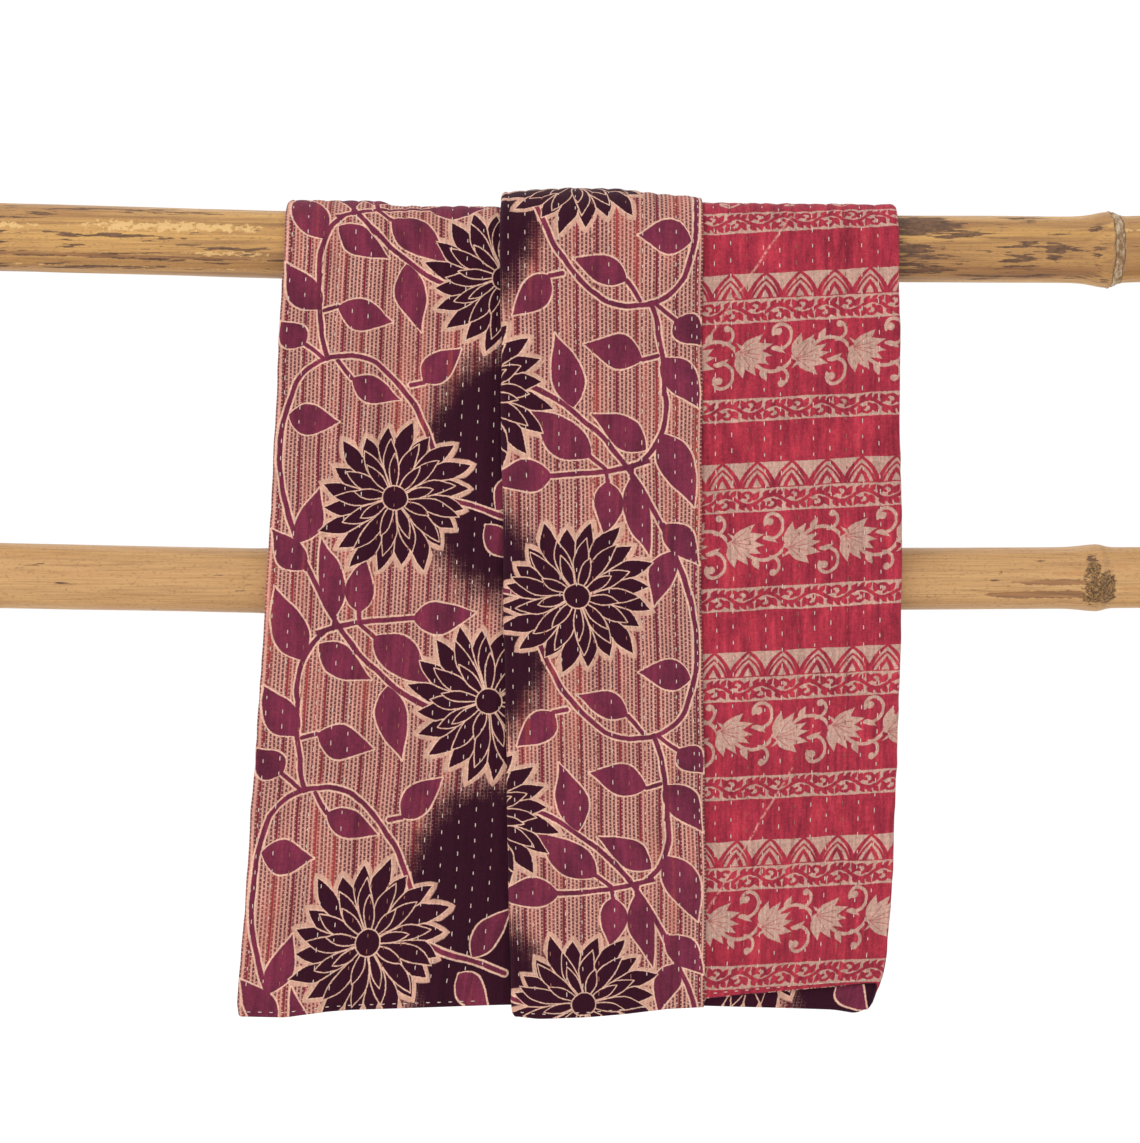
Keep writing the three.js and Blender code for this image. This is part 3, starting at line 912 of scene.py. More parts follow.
# Print coordinates in metres of cloth. The flowered side is read up the under layer and, turned round,
# on the top layer; the red side is read on the red layer
def clothMaps(columns, laid, across):
    def sAt(layer, x):
        mine = columns["layer"] == layer
        order = np.argsort(columns["x"][mine])
        return np.interp(x, columns["x"][mine][order], across[mine][order])

    hang = laid["fallen"] - laid["quarter"]

    def warp(y):
        gain, curve = quilt["warp"]
        inside = np.clip(y, *quilt["warpRange"])
        return gain * inside - curve * inside ** 2 + (gain - 2 * curve * inside) * (y - inside)

    u = across[None, :] + 0 * hang
    underU, topU = u - sAt("under", 0) + quilt["underShift"], quilt["topShift"] - u + sAt("top", 0)
    under = np.stack([underU, warp(hang + quilt["underHeight"] - laid["railZ"])], -1)
    top = np.stack([topU, warp(laid["railZ"] - quilt["topHeight"] - hang)], -1)
    redX = sAt("red", 0.2) - u + 0.2
    slant = quilt["redShear"] * (redX - quilt["redLevelAt"])
    red = np.stack([redX, hang + quilt["redShift"] - laid["railZ"] + slant], -1)
    return under, top, red


# One half of the quilt, crest to hem, as a closed mesh with rounded edges
def quiltHalf(name, rows, sheet, materials):
    sideA, sideB = (face[rows] for face in sheet["faces"])
    count, width = sideA.shape[:2]
    size = count * width
    r, c = np.arange(count), np.arange(width)
    rim = np.concatenate([
        r[:-1] * width + width - 1, (count - 1) * width + c[:0:-1], r[:0:-1] * width, c[:-1]])
    middle, normal = sheet["middle"][rows], sheet["normal"][rows]
    out = np.zeros_like(middle)
    alongRow, alongColumn = np.gradient(middle, axis=0), np.gradient(middle, axis=1)
    out[:, 0], out[:, -1] = -alongColumn[:, 0], alongColumn[:, -1]
    crestRow, hemRow = (0, -1) if name == "front_quilt" else (-1, 0)
    out[hemRow] = alongRow[hemRow] * (1 if hemRow == -1 else -1)
    out[crestRow] = 0
    length = np.maximum(np.linalg.norm(out, axis=-1, keepdims=True), 1e-9)
    out = out / length
    bulge = (middle + 0.45 * 2 * sheet["half"][rows][..., None] * out).reshape(-1, 3)[rim]
    edgeNormal = (out + 0.001 * normal).reshape(-1, 3)[rim]
    edgeNormal /= np.linalg.norm(edgeNormal, axis=-1, keepdims=True)
    points = np.concatenate([sideA.reshape(-1, 3), sideB.reshape(-1, 3), bulge])
    normals = np.concatenate([
        gridNormals(sheet["faces"][0])[rows].reshape(-1, 3),
        -gridNormals(sheet["faces"][1])[rows].reshape(-1, 3), edgeNormal])
    front = gridFaces(count, width, flip=True)
    back = gridFaces(count, width, first=size)
    around = np.arange(len(rim))
    after = (around + 1) % len(rim)
    edgeA = np.stack([rim, rim[after], 2 * size + after, 2 * size + around], 1)
    edgeB = np.stack([2 * size + around, 2 * size + after, size + rim[after], size + rim], 1)
    under, top, red = (m[rows].reshape(-1, 2) for m in sheet["maps"])
    switch = np.flatnonzero(sheet["columns"]["layer"] == "red").mean()

    def flowered(corners):
        return np.where((corners % width < switch)[..., None], under[corners % size], top[corners % size])

    faceColumn = np.repeat(front.min(1) % width < switch, 4).reshape(-1, 4)
    frontUv = np.where(faceColumn[..., None], under[front], top[front])
    rimUv = flowered(np.stack([rim, rim[after], rim[after], rim], 1))
    uv = np.concatenate([part.reshape(-1, 2) for part in (frontUv, red[back - size], rimUv, rimUv)])
    index = np.concatenate([np.zeros(len(front)), np.ones(len(back)), np.full(2 * len(rim), 0)])
    piece = buildMesh(name, points, [front, back, edgeA, edgeB], materials, index, uv)
    piece.data.normals_split_custom_set_from_vertices(normals)
    return piece


# Threads lying on the cloth: from five points along each stitch, a thin tube that sinks in at both ends
def stitchMesh(name, centres, normals, material):
    share = np.linspace(-1, 1, centres.shape[1])
    lift = 0.0004 - 0.0011 * share ** 4
    size = stitching["radius"] * (1 - 0.3 * share ** 2)
    along = np.gradient(centres, axis=1)
    along /= np.linalg.norm(along, axis=-1, keepdims=True)
    beside = np.cross(along, normals)
    beside /= np.linalg.norm(beside, axis=-1, keepdims=True)
    spine = centres + normals * lift[None, :, None]
    angle = np.linspace(0, 2 * math.pi, 5, endpoint=False)
    ring = (np.cos(angle)[None, None, :, None] * normals[:, :, None, :]
            - np.sin(angle)[None, None, :, None] * beside[:, :, None, :])
    points = spine[:, :, None, :] + size[None, :, None, None] * ring
    count, rings, sides = points.shape[:3]
    first = np.arange(count)[:, None, None] * rings * sides
    tube = (gridFaces(rings, sides, wrap=True)[None] + first).reshape(-1, 4)
    corner = np.arange(sides)
    startCap = (corner[None, ::-1] + first[:, 0]).reshape(-1, sides)
    endCap = (corner[None, :] + (rings - 1) * sides + first[:, 0]).reshape(-1, sides)
    return buildMesh(name, points.reshape(-1, 3), [tube, startCap, endCap], [material])


# Five points of each stitch, and the cloth's normal there, along a line of points across or down the cloth
def alongLine(line, normals, distance, centres, length):
    at = centres[:, None] + np.linspace(-0.5, 0.5, 5) * length

    def sample(values):
        return np.stack([np.interp(at, distance, values[:, k]) for k in range(3)], -1)

    normal = sample(normals)
    return sample(line), normal / np.linalg.norm(normal, axis=-1, keepdims=True)


# Every visible running stitch: down each stitch row of the shown layers, along the hems and the last edge
def sewStitches(sheet, white, coloured):
    random = np.random.default_rng(77)
    columns, fallen, across = sheet["columns"], sheet["fallen"], sheet["across"]
    outward = [gridNormals(sheet["faces"][0]), -gridNormals(sheet["faces"][1])]
    runs = {(half, colour): [] for half in ("front", "back") for colour in ("white", "coloured")}

    def keep(points, normals, colour):
        front = points[:, 2, 1] < railDepth
        for half, mine in (("front", front), ("back", ~front)):
            runs[half, colour].append((points[mine], normals[mine]))

    def keepHem(line, normals, distance, margin):
        low, high = distance.min() + margin, distance.max() - margin
        centres = np.arange(low, high, stitching["hemPitch"])
        keep(*alongLine(line, normals, distance, centres, stitching["hemLength"]), "white")

    for column, phase in zip(sheet["rows"], sheet["phase"]):
        down = fallen[:, column]
        centres = (np.arange(down[0] // stitching["pitch"] + 2, down[-1] // stitching["pitch"] - 1) + phase)
        centres = centres * stitching["pitch"] + random.uniform(-0.0013, 0.0013, len(centres))
        length = stitching["length"] * random.uniform(0.75, 1.15, (len(centres), 1))
        face = 1 if columns["layer"][column] == "red" else 0
        colour = "coloured" if random.random() < stitching["colouredShare"] else "white"
        line, normals = sheet["faces"][face][:, column], outward[face][:, column]
        keep(*alongLine(line, normals, down, centres, length), colour)
    for end, step in ((-1, -1), (0, 1)):
        share = stitching["hemInset"] / np.abs(fallen[end] - fallen[end + step])[:, None]
        for layer, face, low, high in (("under", 0, -9, -0.05), ("red", 1, 0.12, 9), ("top", 0, -9, 9)):
            mine = (columns["layer"] == layer) & (columns["x"] > low) & (columns["x"] < high)
            line, normals = (
                (grid[end] * (1 - share) + grid[end + step] * share)[mine]
                for grid in (sheet["faces"][face], outward[face]))
            keepHem(line, normals, across[mine], 0.004)
    column = np.searchsorted(across, across[-1] - stitching["hemInset"]) - 1
    share = (across[-1] - stitching["hemInset"] - across[column]) / (across[column + 1] - across[column])
    line, normals = (
        grid[:, column] * (1 - share) + grid[:, column + 1] * share
        for grid in (sheet["faces"][0], outward[0]))
    keepHem(line, normals, fallen[:, -1], 0.01)
    pieces = {"front": [], "back": []}
    for (half, colour), parts in runs.items():
        centres, normals = (np.concatenate([part[k] for part in parts]) for k in (0, 1))
        material = white if colour == "white" else coloured
        pieces[half].append(stitchMesh(f"{half}_{colour}_stitches", centres, normals, material))
    return pieces


# The drop of each half hangs below the rail; nodes lists the places in model.glb whose folded layers that
# half replaces
quiltHalves = {
    "front": {"body": "quilt_front_drop", "nodes": ("saddle", "front"), "y": -0.122},
    "back": {"body": "quilt_back_drop", "nodes": ("back",), "y": -0.0139},
}


def addQuilt():
    columns = sheetColumns()
    laid = layMiddle(columns)
    faces, normal, across, rows, phase, half = layFaces(columns, laid)
    sheet = {"columns": columns, "middle": laid["middle"], "fallen": laid["fallen"], "faces": faces,
             "normal": normal, "across": across, "rows": rows, "phase": phase, "half": half,
             "maps": clothMaps(columns, laid, across)}
    crest = quilt["arcRows"] + quilt["dropRows"]
    materials = [floralMaterial(), redMaterial()]
    stitches = sewStitches(sheet, threadMaterial("whiteThread", srgb(226, 204, 190)),
                           threadMaterial("colouredThread", srgb(160, 96, 80)))
    for name, rowsOf in (("front", slice(crest, None)), ("back", slice(0, crest + 1))):
        piece = quiltHalf(name + "_quilt", rowsOf, sheet, materials)
        spec = quiltHalves[name]
        for part in [piece] + stitches[name]:
            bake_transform(part)
        layers = ("under_fold", "turned_fold", "top_fold")
        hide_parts(*[f"{place}_{layer}" for place in spec["nodes"] for layer in layers])
        print(name, "half of the quilt made,", len(piece.data.polygons), "faces")


# The flowered print, in millimetres of cloth with y down: everything repeats every "repeat", about two
# flowers. Leaves are (base, tip, width), stems (from, to), vines three points of an arc.
floral = {
    "repeat": (399, 462), "flowers": [(0, 0), (110, 217)], "wash": ((117, -28), (91, 138)),
    "washDots": 2.1,
    "outline": 1.9, "stem": 2.3, "vine": 2.6, "petalLine": 0.62,
    "petals": [(20, 88, 22, 0.0), (13, 73, 16, 0.4), (9, 50, 11, 0.2)], "halo": 5.5, "eye": 13.5,
    "stripe": (20.5, 1.15), "dash": (4.1, 4.2, 1.12, 1.65),
    "leaves": [
        ((-51, -131), (3, -108), 29), ((27, -126), (66, -166), 32), ((-117, -91), (-63, -84), 35),
        ((-102, -170), (-129, -195), 32), ((-100, 49), (-80, -10), 28), ((-90, 78), (-128, 35), 32),
        ((-56, 129), (-76, 43), 28), ((-32, 124), (-28, 66), 30), ((25, 129), (91, 125), 34),
        ((-88, 173), (-122, 96), 37), ((-72, 157), (-16, 195), 32), ((-15, 149), (47, 200), 39),
        ((3, 201), (23, 277), 33), ((-89, 253), (-127, 200), 35), ((-68, 250), (-8, 266), 34),
        ((109, 14), (146, -34), 27), ((98, 30), (135, 66), 27),
    ],
    "vines": [
        ((45, -31), (24, -91), (-26, -149)), ((-26, -149), (-75, -155), (-112, -126)),
        ((-112, -126), (-124, -50), (-100, 49)), ((-100, 49), (-71, 109), (-39, 157)),
        ((-39, 157), (5, 198), (67, 233)), ((25, 129), (-28, 134), (-65, 142)),
        ((-65, 142), (-87, 171), (-90, 217)), ((-90, 217), (-89, 255), (-78, 306)),
    ],
    "stems": [
        ((-66, -152), (-51, -131)), ((14, -124), (27, -126)), ((-83, -155), (-102, -170)),
        ((-30, 137), (-15, 149)), ((-84, 255), (-68, 250)), ((60, 2), (146, 30)), ((-30, 137), (-32, 124)),
        ((-58, 141), (-56, 129)), ((-100, 49), (-90, 78)),
    ],
    "colours": {
        "ground": srgb(204, 148, 132), "line": srgb(218, 174, 152), "halo": srgb(200, 154, 134),
        "leaf": srgb(124, 44, 68), "leafDark": srgb(90, 32, 52), "flower": srgb(48, 6, 26),
        "wash": srgb(46, 6, 26), "dash": srgb(66, 14, 34), "stripe": srgb(118, 34, 50),
        "warm": srgb(186, 80, 66),
    },
}


# Vector from a point to here, by the shortest way round where the print repeats
def fromPoint(tree, place, point, repeat=None):
    offset = vec(tree, "SUBTRACT", place, (*point, 0))
    if repeat is None:
        return offset
    wide, tall = repeat[0] / 2, repeat[1] / 2
    return vec(tree, "WRAP", offset, (wide, tall, 1), (-wide, -tall, -1))


def minOf(tree, values):
    least = values[0]
    for value in values[1:]:
        least = calc(tree, "MINIMUM", least, value)
    return least


# 1 where the value is under the limit, with an edge as wide as blur
def under(tree, value, limit, blur=0.35):
    return ramp(tree, value, limit + blur, limit - blur)


# Distance to a leaf's outline, negative inside: its half width is that of a sine pushed towards its base,
# and it ends in points. From is the way from its base; Along is 1/length long; Across is a unit vector
def makeLeafGroup():
    tree, given, result = makeGroup("leafDistance", {
        "From": ("Vector", (0, 0, 0)), "Along": ("Vector", (1, 0, 0)), "Across": ("Vector", (0, 1, 0)),
        "Length": ("Float", 60), "Width": ("Float", 30), "Bend": ("Float", 0)}, {"Distance": "Float"})
    share = dot(tree, given["From"], given["Along"])
    inside = plus(tree, share, 0, clamp=True)
    arch = calc(tree, "SINE", times(tree, calc(tree, "POWER", inside, 0.74), math.pi))
    half = times(tree, times(tree, given["Width"], 0.5), calc(tree, "POWER", arch, 1.12))
    bow = times(tree, given["Bend"], calc(tree, "SINE", times(tree, inside, math.pi)))
    side = minus(tree, dot(tree, given["From"], given["Across"]), bow)
    past = times(tree, minus(tree, share, inside), given["Length"])
    reach = calc(tree, "SQRT", plus(tree, times(tree, side, side), times(tree, past, past)))
    tree.links.new(minus(tree, reach, half), result["Distance"])
    return tree


def leafAt(tree, place, base, tip, width, bend, repeat=None):
    run = np.subtract(tip, base)
    length = float(np.hypot(*run))
    along, across = run / length ** 2, np.array([-run[1], run[0]]) / length
    way = fromPoint(tree, place, base, repeat)
    return useGroup(tree, leafGroup, From=way, Along=(*along, 0), Across=(*across, 0),
                    Length=length, Width=float(width), Bend=float(bend))["Distance"]


# Distance to a straight stem's middle
def stemAt(tree, place, start, end, repeat=None):
    run = np.subtract(end, start)
    way = fromPoint(tree, place, start, repeat)
    share = plus(tree, dot(tree, way, (*(run / (run @ run)), 0)), 0, clamp=True)
    return lengthOf(tree, vec(tree, "SUBTRACT", way, scaledBy(tree, (*run, 0), share)))


farAway = 999


# Distance to an arc through three points; far away outside its angle
def arcAt(tree, place, start, middle, end, repeat=None):
    a, b, c = (np.array(p, float) for p in (start, middle, end))
    system = 2 * np.array([b - a, c - a])
    centre = np.linalg.solve(system, [b @ b - a @ a, c @ c - a @ a])
    radius = float(np.hypot(*(b - centre)))
    bisector = (a + c) / 2 - centre
    facing = (b - centre) @ bisector
    bisector = bisector / np.hypot(*bisector) * (1 if facing > 0 else -1)
    reach = float(bisector @ (a - centre)) / radius
    way = fromPoint(tree, place, middle, repeat)
    spoke = vec(tree, "ADD", way, (*(b - centre), 0))
    length = lengthOf(tree, spoke)
    gap = calc(tree, "ABSOLUTE", minus(tree, length, radius))
    turned = calc(tree, "DIVIDE", dot(tree, spoke, (*bisector, 0)), length)
    return plus(tree, gap, times(tree, calc(tree, "LESS_THAN", turned, reach - 0.004), farAway))


# One ring of petals about a flower's centre: a leaf shape in each sector, its length drawn per petal.
# Distance is negative inside a petal and never passes the line between two sectors
def makePetalGroup():
    tree, given, result = makeGroup("petalRing", {
        "Radius": ("Float", 0), "Turn": ("Float", 0), "Count": ("Float", 12), "Length": ("Float", 60),
        "Width": ("Float", 20), "Phase": ("Float", 0), "Seed": ("Float", 0)}, {"Distance": "Float"})
    sector = plus(tree, times(tree, given["Turn"], given["Count"]), given["Phase"])
    index = calc(tree, "MODULO", calc(tree, "FLOOR", sector), given["Count"])
    aside = calc(tree, "ABSOLUTE", minus(tree, calc(tree, "FRACT", sector), 0.5))
    draw = addNode(tree, "ShaderNodeTexWhiteNoise")
    draw.noise_dimensions = "1D"
    tree.links.new(plus(tree, index, given["Seed"]), draw.inputs["W"])
    length = times(tree, given["Length"], ramp(tree, draw.outputs["Value"], 0, 1, 0.82, 1.03))
    share = calc(tree, "DIVIDE", given["Radius"], length)
    inside = plus(tree, share, 0, clamp=True)
    arch = calc(tree, "SINE", times(tree, calc(tree, "POWER", inside, 1.45), math.pi))
    half = times(tree, times(tree, given["Width"], 0.5), arch)
    sectorWidth = calc(tree, "DIVIDE", times(tree, given["Radius"], 2 * math.pi), given["Count"])
    half = calc(tree, "MINIMUM", half, times(tree, sectorWidth, 0.5))
    side = times(tree, aside, sectorWidth)
    past = times(tree, minus(tree, share, inside), length)
    distance = minus(tree, plus(tree, side, calc(tree, "MAXIMUM", past, 0)), half)
    tree.links.new(distance, result["Distance"])
    return tree


# Small wander of a drawn line: coarse noise bends it, fine noise frays its edge
def wander(tree, place, coarse, fine):
    for size, scale in ((coarse, 0.03), (fine, 0.45)):
        node = addNode(tree, "ShaderNodeTexNoise")
        plug(tree, node.inputs["Vector"], place)
        node.inputs["Scale"].default_value = scale
        node.inputs["Detail"].default_value = 1
        shift = vec(tree, "SUBTRACT", node.outputs["Color"], (0.5, 0.5, 0.5))
        place = vec(tree, "ADD", place, vec(tree, "MULTIPLY", shift, (size, size, 0)))
    return place


def makeFloralGroup():
    tree, given, result = makeGroup("floralPrint", {"Vector": ("Vector", (0, 0, 0))}, {"Color": "Color"})
    plain = vec(tree, "MULTIPLY", given["Vector"], (1000, 1000, 0))
    place = wander(tree, plain, 5, 1.1)
    repeat, colours = floral["repeat"], floral["colours"]
    flat = addNode(tree, "ShaderNodeSeparateXYZ")
    plug(tree, flat.inputs[0], plain)
    x, y = flat.outputs[0], flat.outputs[1]

    # ground: stripes, and columns of short dashes between them, every other column half a step down
    swayed = plus(tree, x, grain(tree, plain, (0.1, 0.02, 0)))
    stripeGap = calc(tree, "PINGPONG", swayed, floral["stripe"][0] / 2)
    across, down, halfWide, halfTall = floral["dash"]
    column = calc(tree, "DIVIDE", x, across)
    stagger = times(tree, calc(tree, "MODULO", calc(tree, "FLOOR", column), 2), down / 2)
    row = calc(tree, "DIVIDE", plus(tree, y, stagger), down)
    dashX, dashY = (
        times(tree, calc(tree, "ABSOLUTE", minus(tree, calc(tree, "FRACT", count), 0.5)), pitch)
        for count, pitch in ((column, across), (row, down)))
    speckle = noise(tree, plain, 0.5, 3, 0.6)
    boxGap = calc(tree, "MAXIMUM", minus(tree, dashX, halfWide), minus(tree, dashY, halfTall))
    boxGap = plus(tree, boxGap, ramp(tree, speckle, 0.3, 0.7, -0.45, 0.45))
    warm = grain(tree, plain, (0.05, 0.004, 0), 3, 0.6)
    warmth = ramp(tree, warm, 0.5, 0.75, 0, 0.75)
    ground = mixColour(tree, ramp(tree, warm, 0.52, 0.8, 0, 0.4), colours["ground"], colours["warm"])
    dashColour = mixColour(tree, warmth, colours["dash"], colours["warm"])
    colour = mixColour(tree, times(tree, under(tree, boxGap, 0, 0.4), 0.9), ground, dashColour)
    stripeColour = mixColour(tree, warmth, colours["stripe"], colours["warm"])
    colour = mixColour(tree, under(tree, stripeGap, floral["stripe"][1], 0.4), colour, stripeColour)

    # the dark wash, breaking up into dots at its rim
    centre, axes = floral["wash"]
    washWay = vec(tree, "DIVIDE", fromPoint(tree, place, centre, repeat), (*axes, 1))
    washGap = minus(tree, lengthOf(tree, washWay), 1)
    slants = plus(tree, x, y), minus(tree, x, y)
    dots = times(tree, *(calc(tree, "SINE", times(tree, slant, floral["washDots"])) for slant in slants))
    ragged = noise(tree, plain, 0.06, 4, 0.65)
    washGap = plus(tree, washGap, ramp(tree, ragged, 0.3, 0.7, -0.07, 0.07))
    washGap = plus(tree, washGap, times(tree, dots, 0.16))
    colour = mixColour(tree, ramp(tree, washGap, 0.06, -0.06), colour, colours["wash"])

    # flowers: the nearer of the two, with its distance and its angle as a share of a turn
    ways = [fromPoint(tree, place, centre, repeat) for centre in floral["flowers"]]
    lengths = [lengthOf(tree, way) for way in ways]
    second = calc(tree, "LESS_THAN", lengths[1], lengths[0])
    nearest = addNode(tree, "ShaderNodeMix")
    nearest.data_type = "VECTOR"
    for socket, source in zip((nearest.inputs[0], nearest.inputs[4], nearest.inputs[5]), (second, *ways)):
        tree.links.new(source, socket)
    parts = addNode(tree, "ShaderNodeSeparateXYZ")
    tree.links.new(nearest.outputs[1], parts.inputs[0])
    radius = calc(tree, "MINIMUM", *lengths)
    turn = calc(tree, "DIVIDE", calc(tree, "ARCTAN2", parts.outputs[1], parts.outputs[0]), 2 * math.pi)
    bend = times(tree, calc(tree, "SINE", times(tree, radius, 0.045)), 0.012)
    turn = plus(tree, plus(tree, turn, bend), 1.5)

    def petals(count, length, width, phase, seed):
        own = plus(tree, times(tree, second, 50), seed)
        return useGroup(tree, petalGroup, Radius=radius, Turn=turn, Count=float(count), Phase=phase,
                        Length=float(length), Width=float(width), Seed=own)["Distance"]

    rings = [petals(*ring, seed * 20.0 + 100) for seed, ring in enumerate(floral["petals"])]
    colour = mixColour(tree, under(tree, rings[0], floral["halo"], 0.8), colour, colours["halo"])

    # leaves, stems and vines with the pale line round them
    leaves = [leafAt(tree, place, base, tip, width, (-1) ** n * 2.5, repeat)
              for n, (base, tip, width) in enumerate(floral["leaves"])]
    vines = [arcAt(tree, place, *points, repeat) for points in floral["vines"]]
    stems = [stemAt(tree, place, *points, repeat) for points in floral["stems"]]
    growth = minOf(tree, leaves + [minus(tree, minOf(tree, vines), floral["vine"]),
                                   minus(tree, minOf(tree, stems), floral["stem"])])
    leafTint = ramp(tree, grain(tree, plain, (0.035, 0.012, 0), 4, 0.6), 0.35, 0.65)
    leafColour = mixColour(tree, leafTint, colours["leaf"], colours["leafDark"])
    leafColour = mixColour(tree, ramp(tree, warm, 0.58, 0.8, 0, 0.55), leafColour, colours["warm"])
    colour = mixColour(tree, under(tree, growth, floral["outline"]), colour, colours["line"])
    colour = mixColour(tree, under(tree, growth, 0), colour, leafColour)

    # petals from the outermost ring in, each over the last, then the eye
    line = floral["petalLine"]
    eye = minus(tree, radius, floral["eye"])
    for ring in rings + [eye]:
        colour = mixColour(tree, under(tree, ring, line), colour, colours["line"])
        colour = mixColour(tree, under(tree, ring, -line), colour, colours["flower"])
    tree.links.new(colour, result["Color"])
    return tree


leafGroup = makeLeafGroup()
petalGroup = makePetalGroup()
floralGroup = makeFloralGroup()


# Cotton that has been worn and washed: its thread ends, its weave as height, and its faded streaks
def makeCottonGroup():
    tree, given, result = makeGroup("wornCotton", {
        "Vector": ("Vector", (0, 0, 0)), "Color": ("Color", (1, 1, 1, 1)), "Streaks": ("Float", 0.3)},
        surfaceOutputs)
    streak = grain(tree, given["Vector"], (260, 9, 0), 4, 0.65)
    thread = grain(tree, given["Vector"], (1500, 700, 0), 3, 0.6)
    cloud = grain(tree, given["Vector"], (16, 16, 0), 4, 0.6)
    mottle = grain(tree, given["Vector"], (420, 260, 0), 3, 0.6)
    light = plus(tree, ramp(tree, streak, 0.3, 0.7, -0.6, 0.6), ramp(tree, cloud, 0.3, 0.7, -0.35, 0.35))
    light = plus(tree, light, ramp(tree, mottle, 0.3, 0.7, -0.55, 0.55))
    gain = plus(tree, times(tree, light, given["Streaks"]), 1)
    weft = grain(tree, given["Vector"], (90, 900, 0), 3, 0.6)
    gain = times(tree, gain, ramp(tree, thread, 0.2, 0.8, 0.76, 1.24))
    gain = times(tree, gain, ramp(tree, weft, 0.25, 0.75, 0.84, 1.16))
    tree.links.new(scaledBy(tree, given["Color"], gain), result["Color"])
    tree.links.new(ramp(tree, thread, 0.2, 0.8, 0.78, 0.92), result["Roughness"])
    crinkle = grain(tree, given["Vector"], (300, 70, 0), 4, 0.6)
    puff = grain(tree, given["Vector"], (90, 40, 0), 2)
    height = plus(tree, times(tree, crinkle, 0.7), times(tree, puff, 0.9))
    tree.links.new(plus(tree, height, times(tree, thread, 0.2)), result["Height"])
    return tree


cottonGroup = makeCottonGroup()


def cottonMaterial(name, printGroup, streaks):
    material, tree, shader = newMaterial(name)
    place = uvVector(tree)
    printed = useGroup(tree, printGroup, Vector=place)["Color"]
    cotton = useGroup(tree, cottonGroup, Vector=place, Color=printed, Streaks=streaks)
    shader.inputs["Specular IOR Level"].default_value = 0.1
    shader.inputs["Sheen Weight"].default_value = 0.04
    shader.inputs["Sheen Roughness"].default_value = 0.6
    paint(tree, shader, cotton["Color"], cotton["Roughness"], cotton["Height"], 1.0, 0.0019)
    return material


def floralMaterial():
    return cottonMaterial("floralCotton", floralGroup, 0.3)


# The red side's print, in millimetres with y down: bands that repeat every "repeat", between red stretches
bordered = {
    "repeat": 198.5, "arch": 27.3, "scroll": 24.7, "garland": 78.8, "shear": 0.0513,
    "archPitch": 36.6, "archPhase": -340.7, "archSunk": 14,
    "arches": [(20.4, 40.5, 2.3), (17.0, 33.5, 1.3), (9.4, 26.5, 2.0)],
    "wavePitch": 49.0, "wavePhase": 28.0, "waveHeight": 5.4, "waveHalf": 1.95,
    "curls": [((-0.5, 0.0), (4.2, 4.4), (-1.6, 8.0), 1.8), ((-1.6, 8.0), (-5.2, 5.0), (-1.6, 3.4), 1.6)],
    "scrollLeaves": [
        ((5, 0), (11.5, 10), 7), ((-6, 2), (-11.5, 11), 7), ((-9, -3), (-3, -11), 6.8),
        ((6, -4), (12, -11), 6), ((-1, -5), (5, -11.5), 5.2), ((-11, 1), (-5, 6), 4.4),
    ],
    "cell": 59.3, "cellStart": 65.4, "cellLead": 5, "baseSway": 4.4, "garlandRise": 4.5,
    "veined": 5, "veinShare": 0.62, "veinHalf": 0.25,
    "leaves": [
        ((0, 0), (23, -18), 11.5, 1), ((0, 0), (34, -7), 12, 0), ((0, 0), (34, 5), 11, 0),
        ((0, 0), (31, 14), 12, -1), ((0, 0), (18, 25), 12, 0), ((0, 0), (4, 27), 12, 1),
        ((33, -4), (48, 3), 5.5, -1),
        ((23, 18), (30, 31), 7, 0), ((6, -1), (-5, -10), 3, 0),
    ],
    "arcs": [
        ((14, 10), (38, 20.5), (56, 7.5), 1.8), ((33, -3.5), (53, -12), (43, -28), 1.7),
        ((35, -16), (35.5, -25), (43, -28), 1.8), ((40, 18), (51, 26), (47, 35), 1.6),
        ((0, 0), (-8, 4.5), (-16, 12), 1.8),
    ],
    "blobs": [((39, -20), 3.9), ((45, 34), 3.6)],
    "creases": [((236, -60), (137, 80)), ((236, 522), (142, 676))],
    "colours": {
        "red": srgb(172, 50, 66), "dark": srgb(132, 36, 54), "bright": srgb(192, 70, 80),
        "pale": srgb(196, 158, 142), "grey": srgb(172, 132, 120),
    },
}


# Distance to a pointed arch of this half width and height standing on y = 0: two circles that cross
def pointedArch(tree, aside, height, halfWidth, tall):
    radius = (tall ** 2 + halfWidth ** 2) / (2 * halfWidth)
    across = plus(tree, aside, radius - halfWidth)
    squares = plus(tree, times(tree, across, across), times(tree, height, height))
    return calc(tree, "ABSOLUTE", minus(tree, calc(tree, "SQRT", squares), radius))


def joinXY(tree, x, y):
    node = addNode(tree, "ShaderNodeCombineXYZ")
    plug(tree, node.inputs[0], x)
    plug(tree, node.inputs[1], y)
    return node.outputs[0]


# Red figure of the narrow scroll band, as a distance: a wave with a curl and leaflets in each hollow
def scrollFigure(tree, x, y):
    pitch = bordered["wavePitch"]
    phase = calc(tree, "DIVIDE", minus(tree, x, bordered["wavePhase"]), pitch)
    wave = times(tree, calc(tree, "COSINE", times(tree, phase, 2 * math.pi)), bordered["waveHeight"])
    wave = times(tree, calc(tree, "ABSOLUTE", plus(tree, y, wave)), 0.85)
    wave = minus(tree, wave, bordered["waveHalf"])
    halves = times(tree, plus(tree, phase, 0.25), 2)
    up = minus(tree, 1, times(tree, calc(tree, "FLOORED_MODULO", calc(tree, "FLOOR", halves), 2), 2))
    localX = minus(tree, calc(tree, "FRACT", halves), 0.5)
    local = joinXY(tree, times(tree, localX, pitch / 2), times(tree, y, up))
    curls = [minus(tree, arcAt(tree, local, *points), half) for *points, half in bordered["curls"]]
    bits = [leafAt(tree, local, *leaf, 0) for leaf in bordered["scrollLeaves"]]
    return minOf(tree, [wave] + curls + bits)


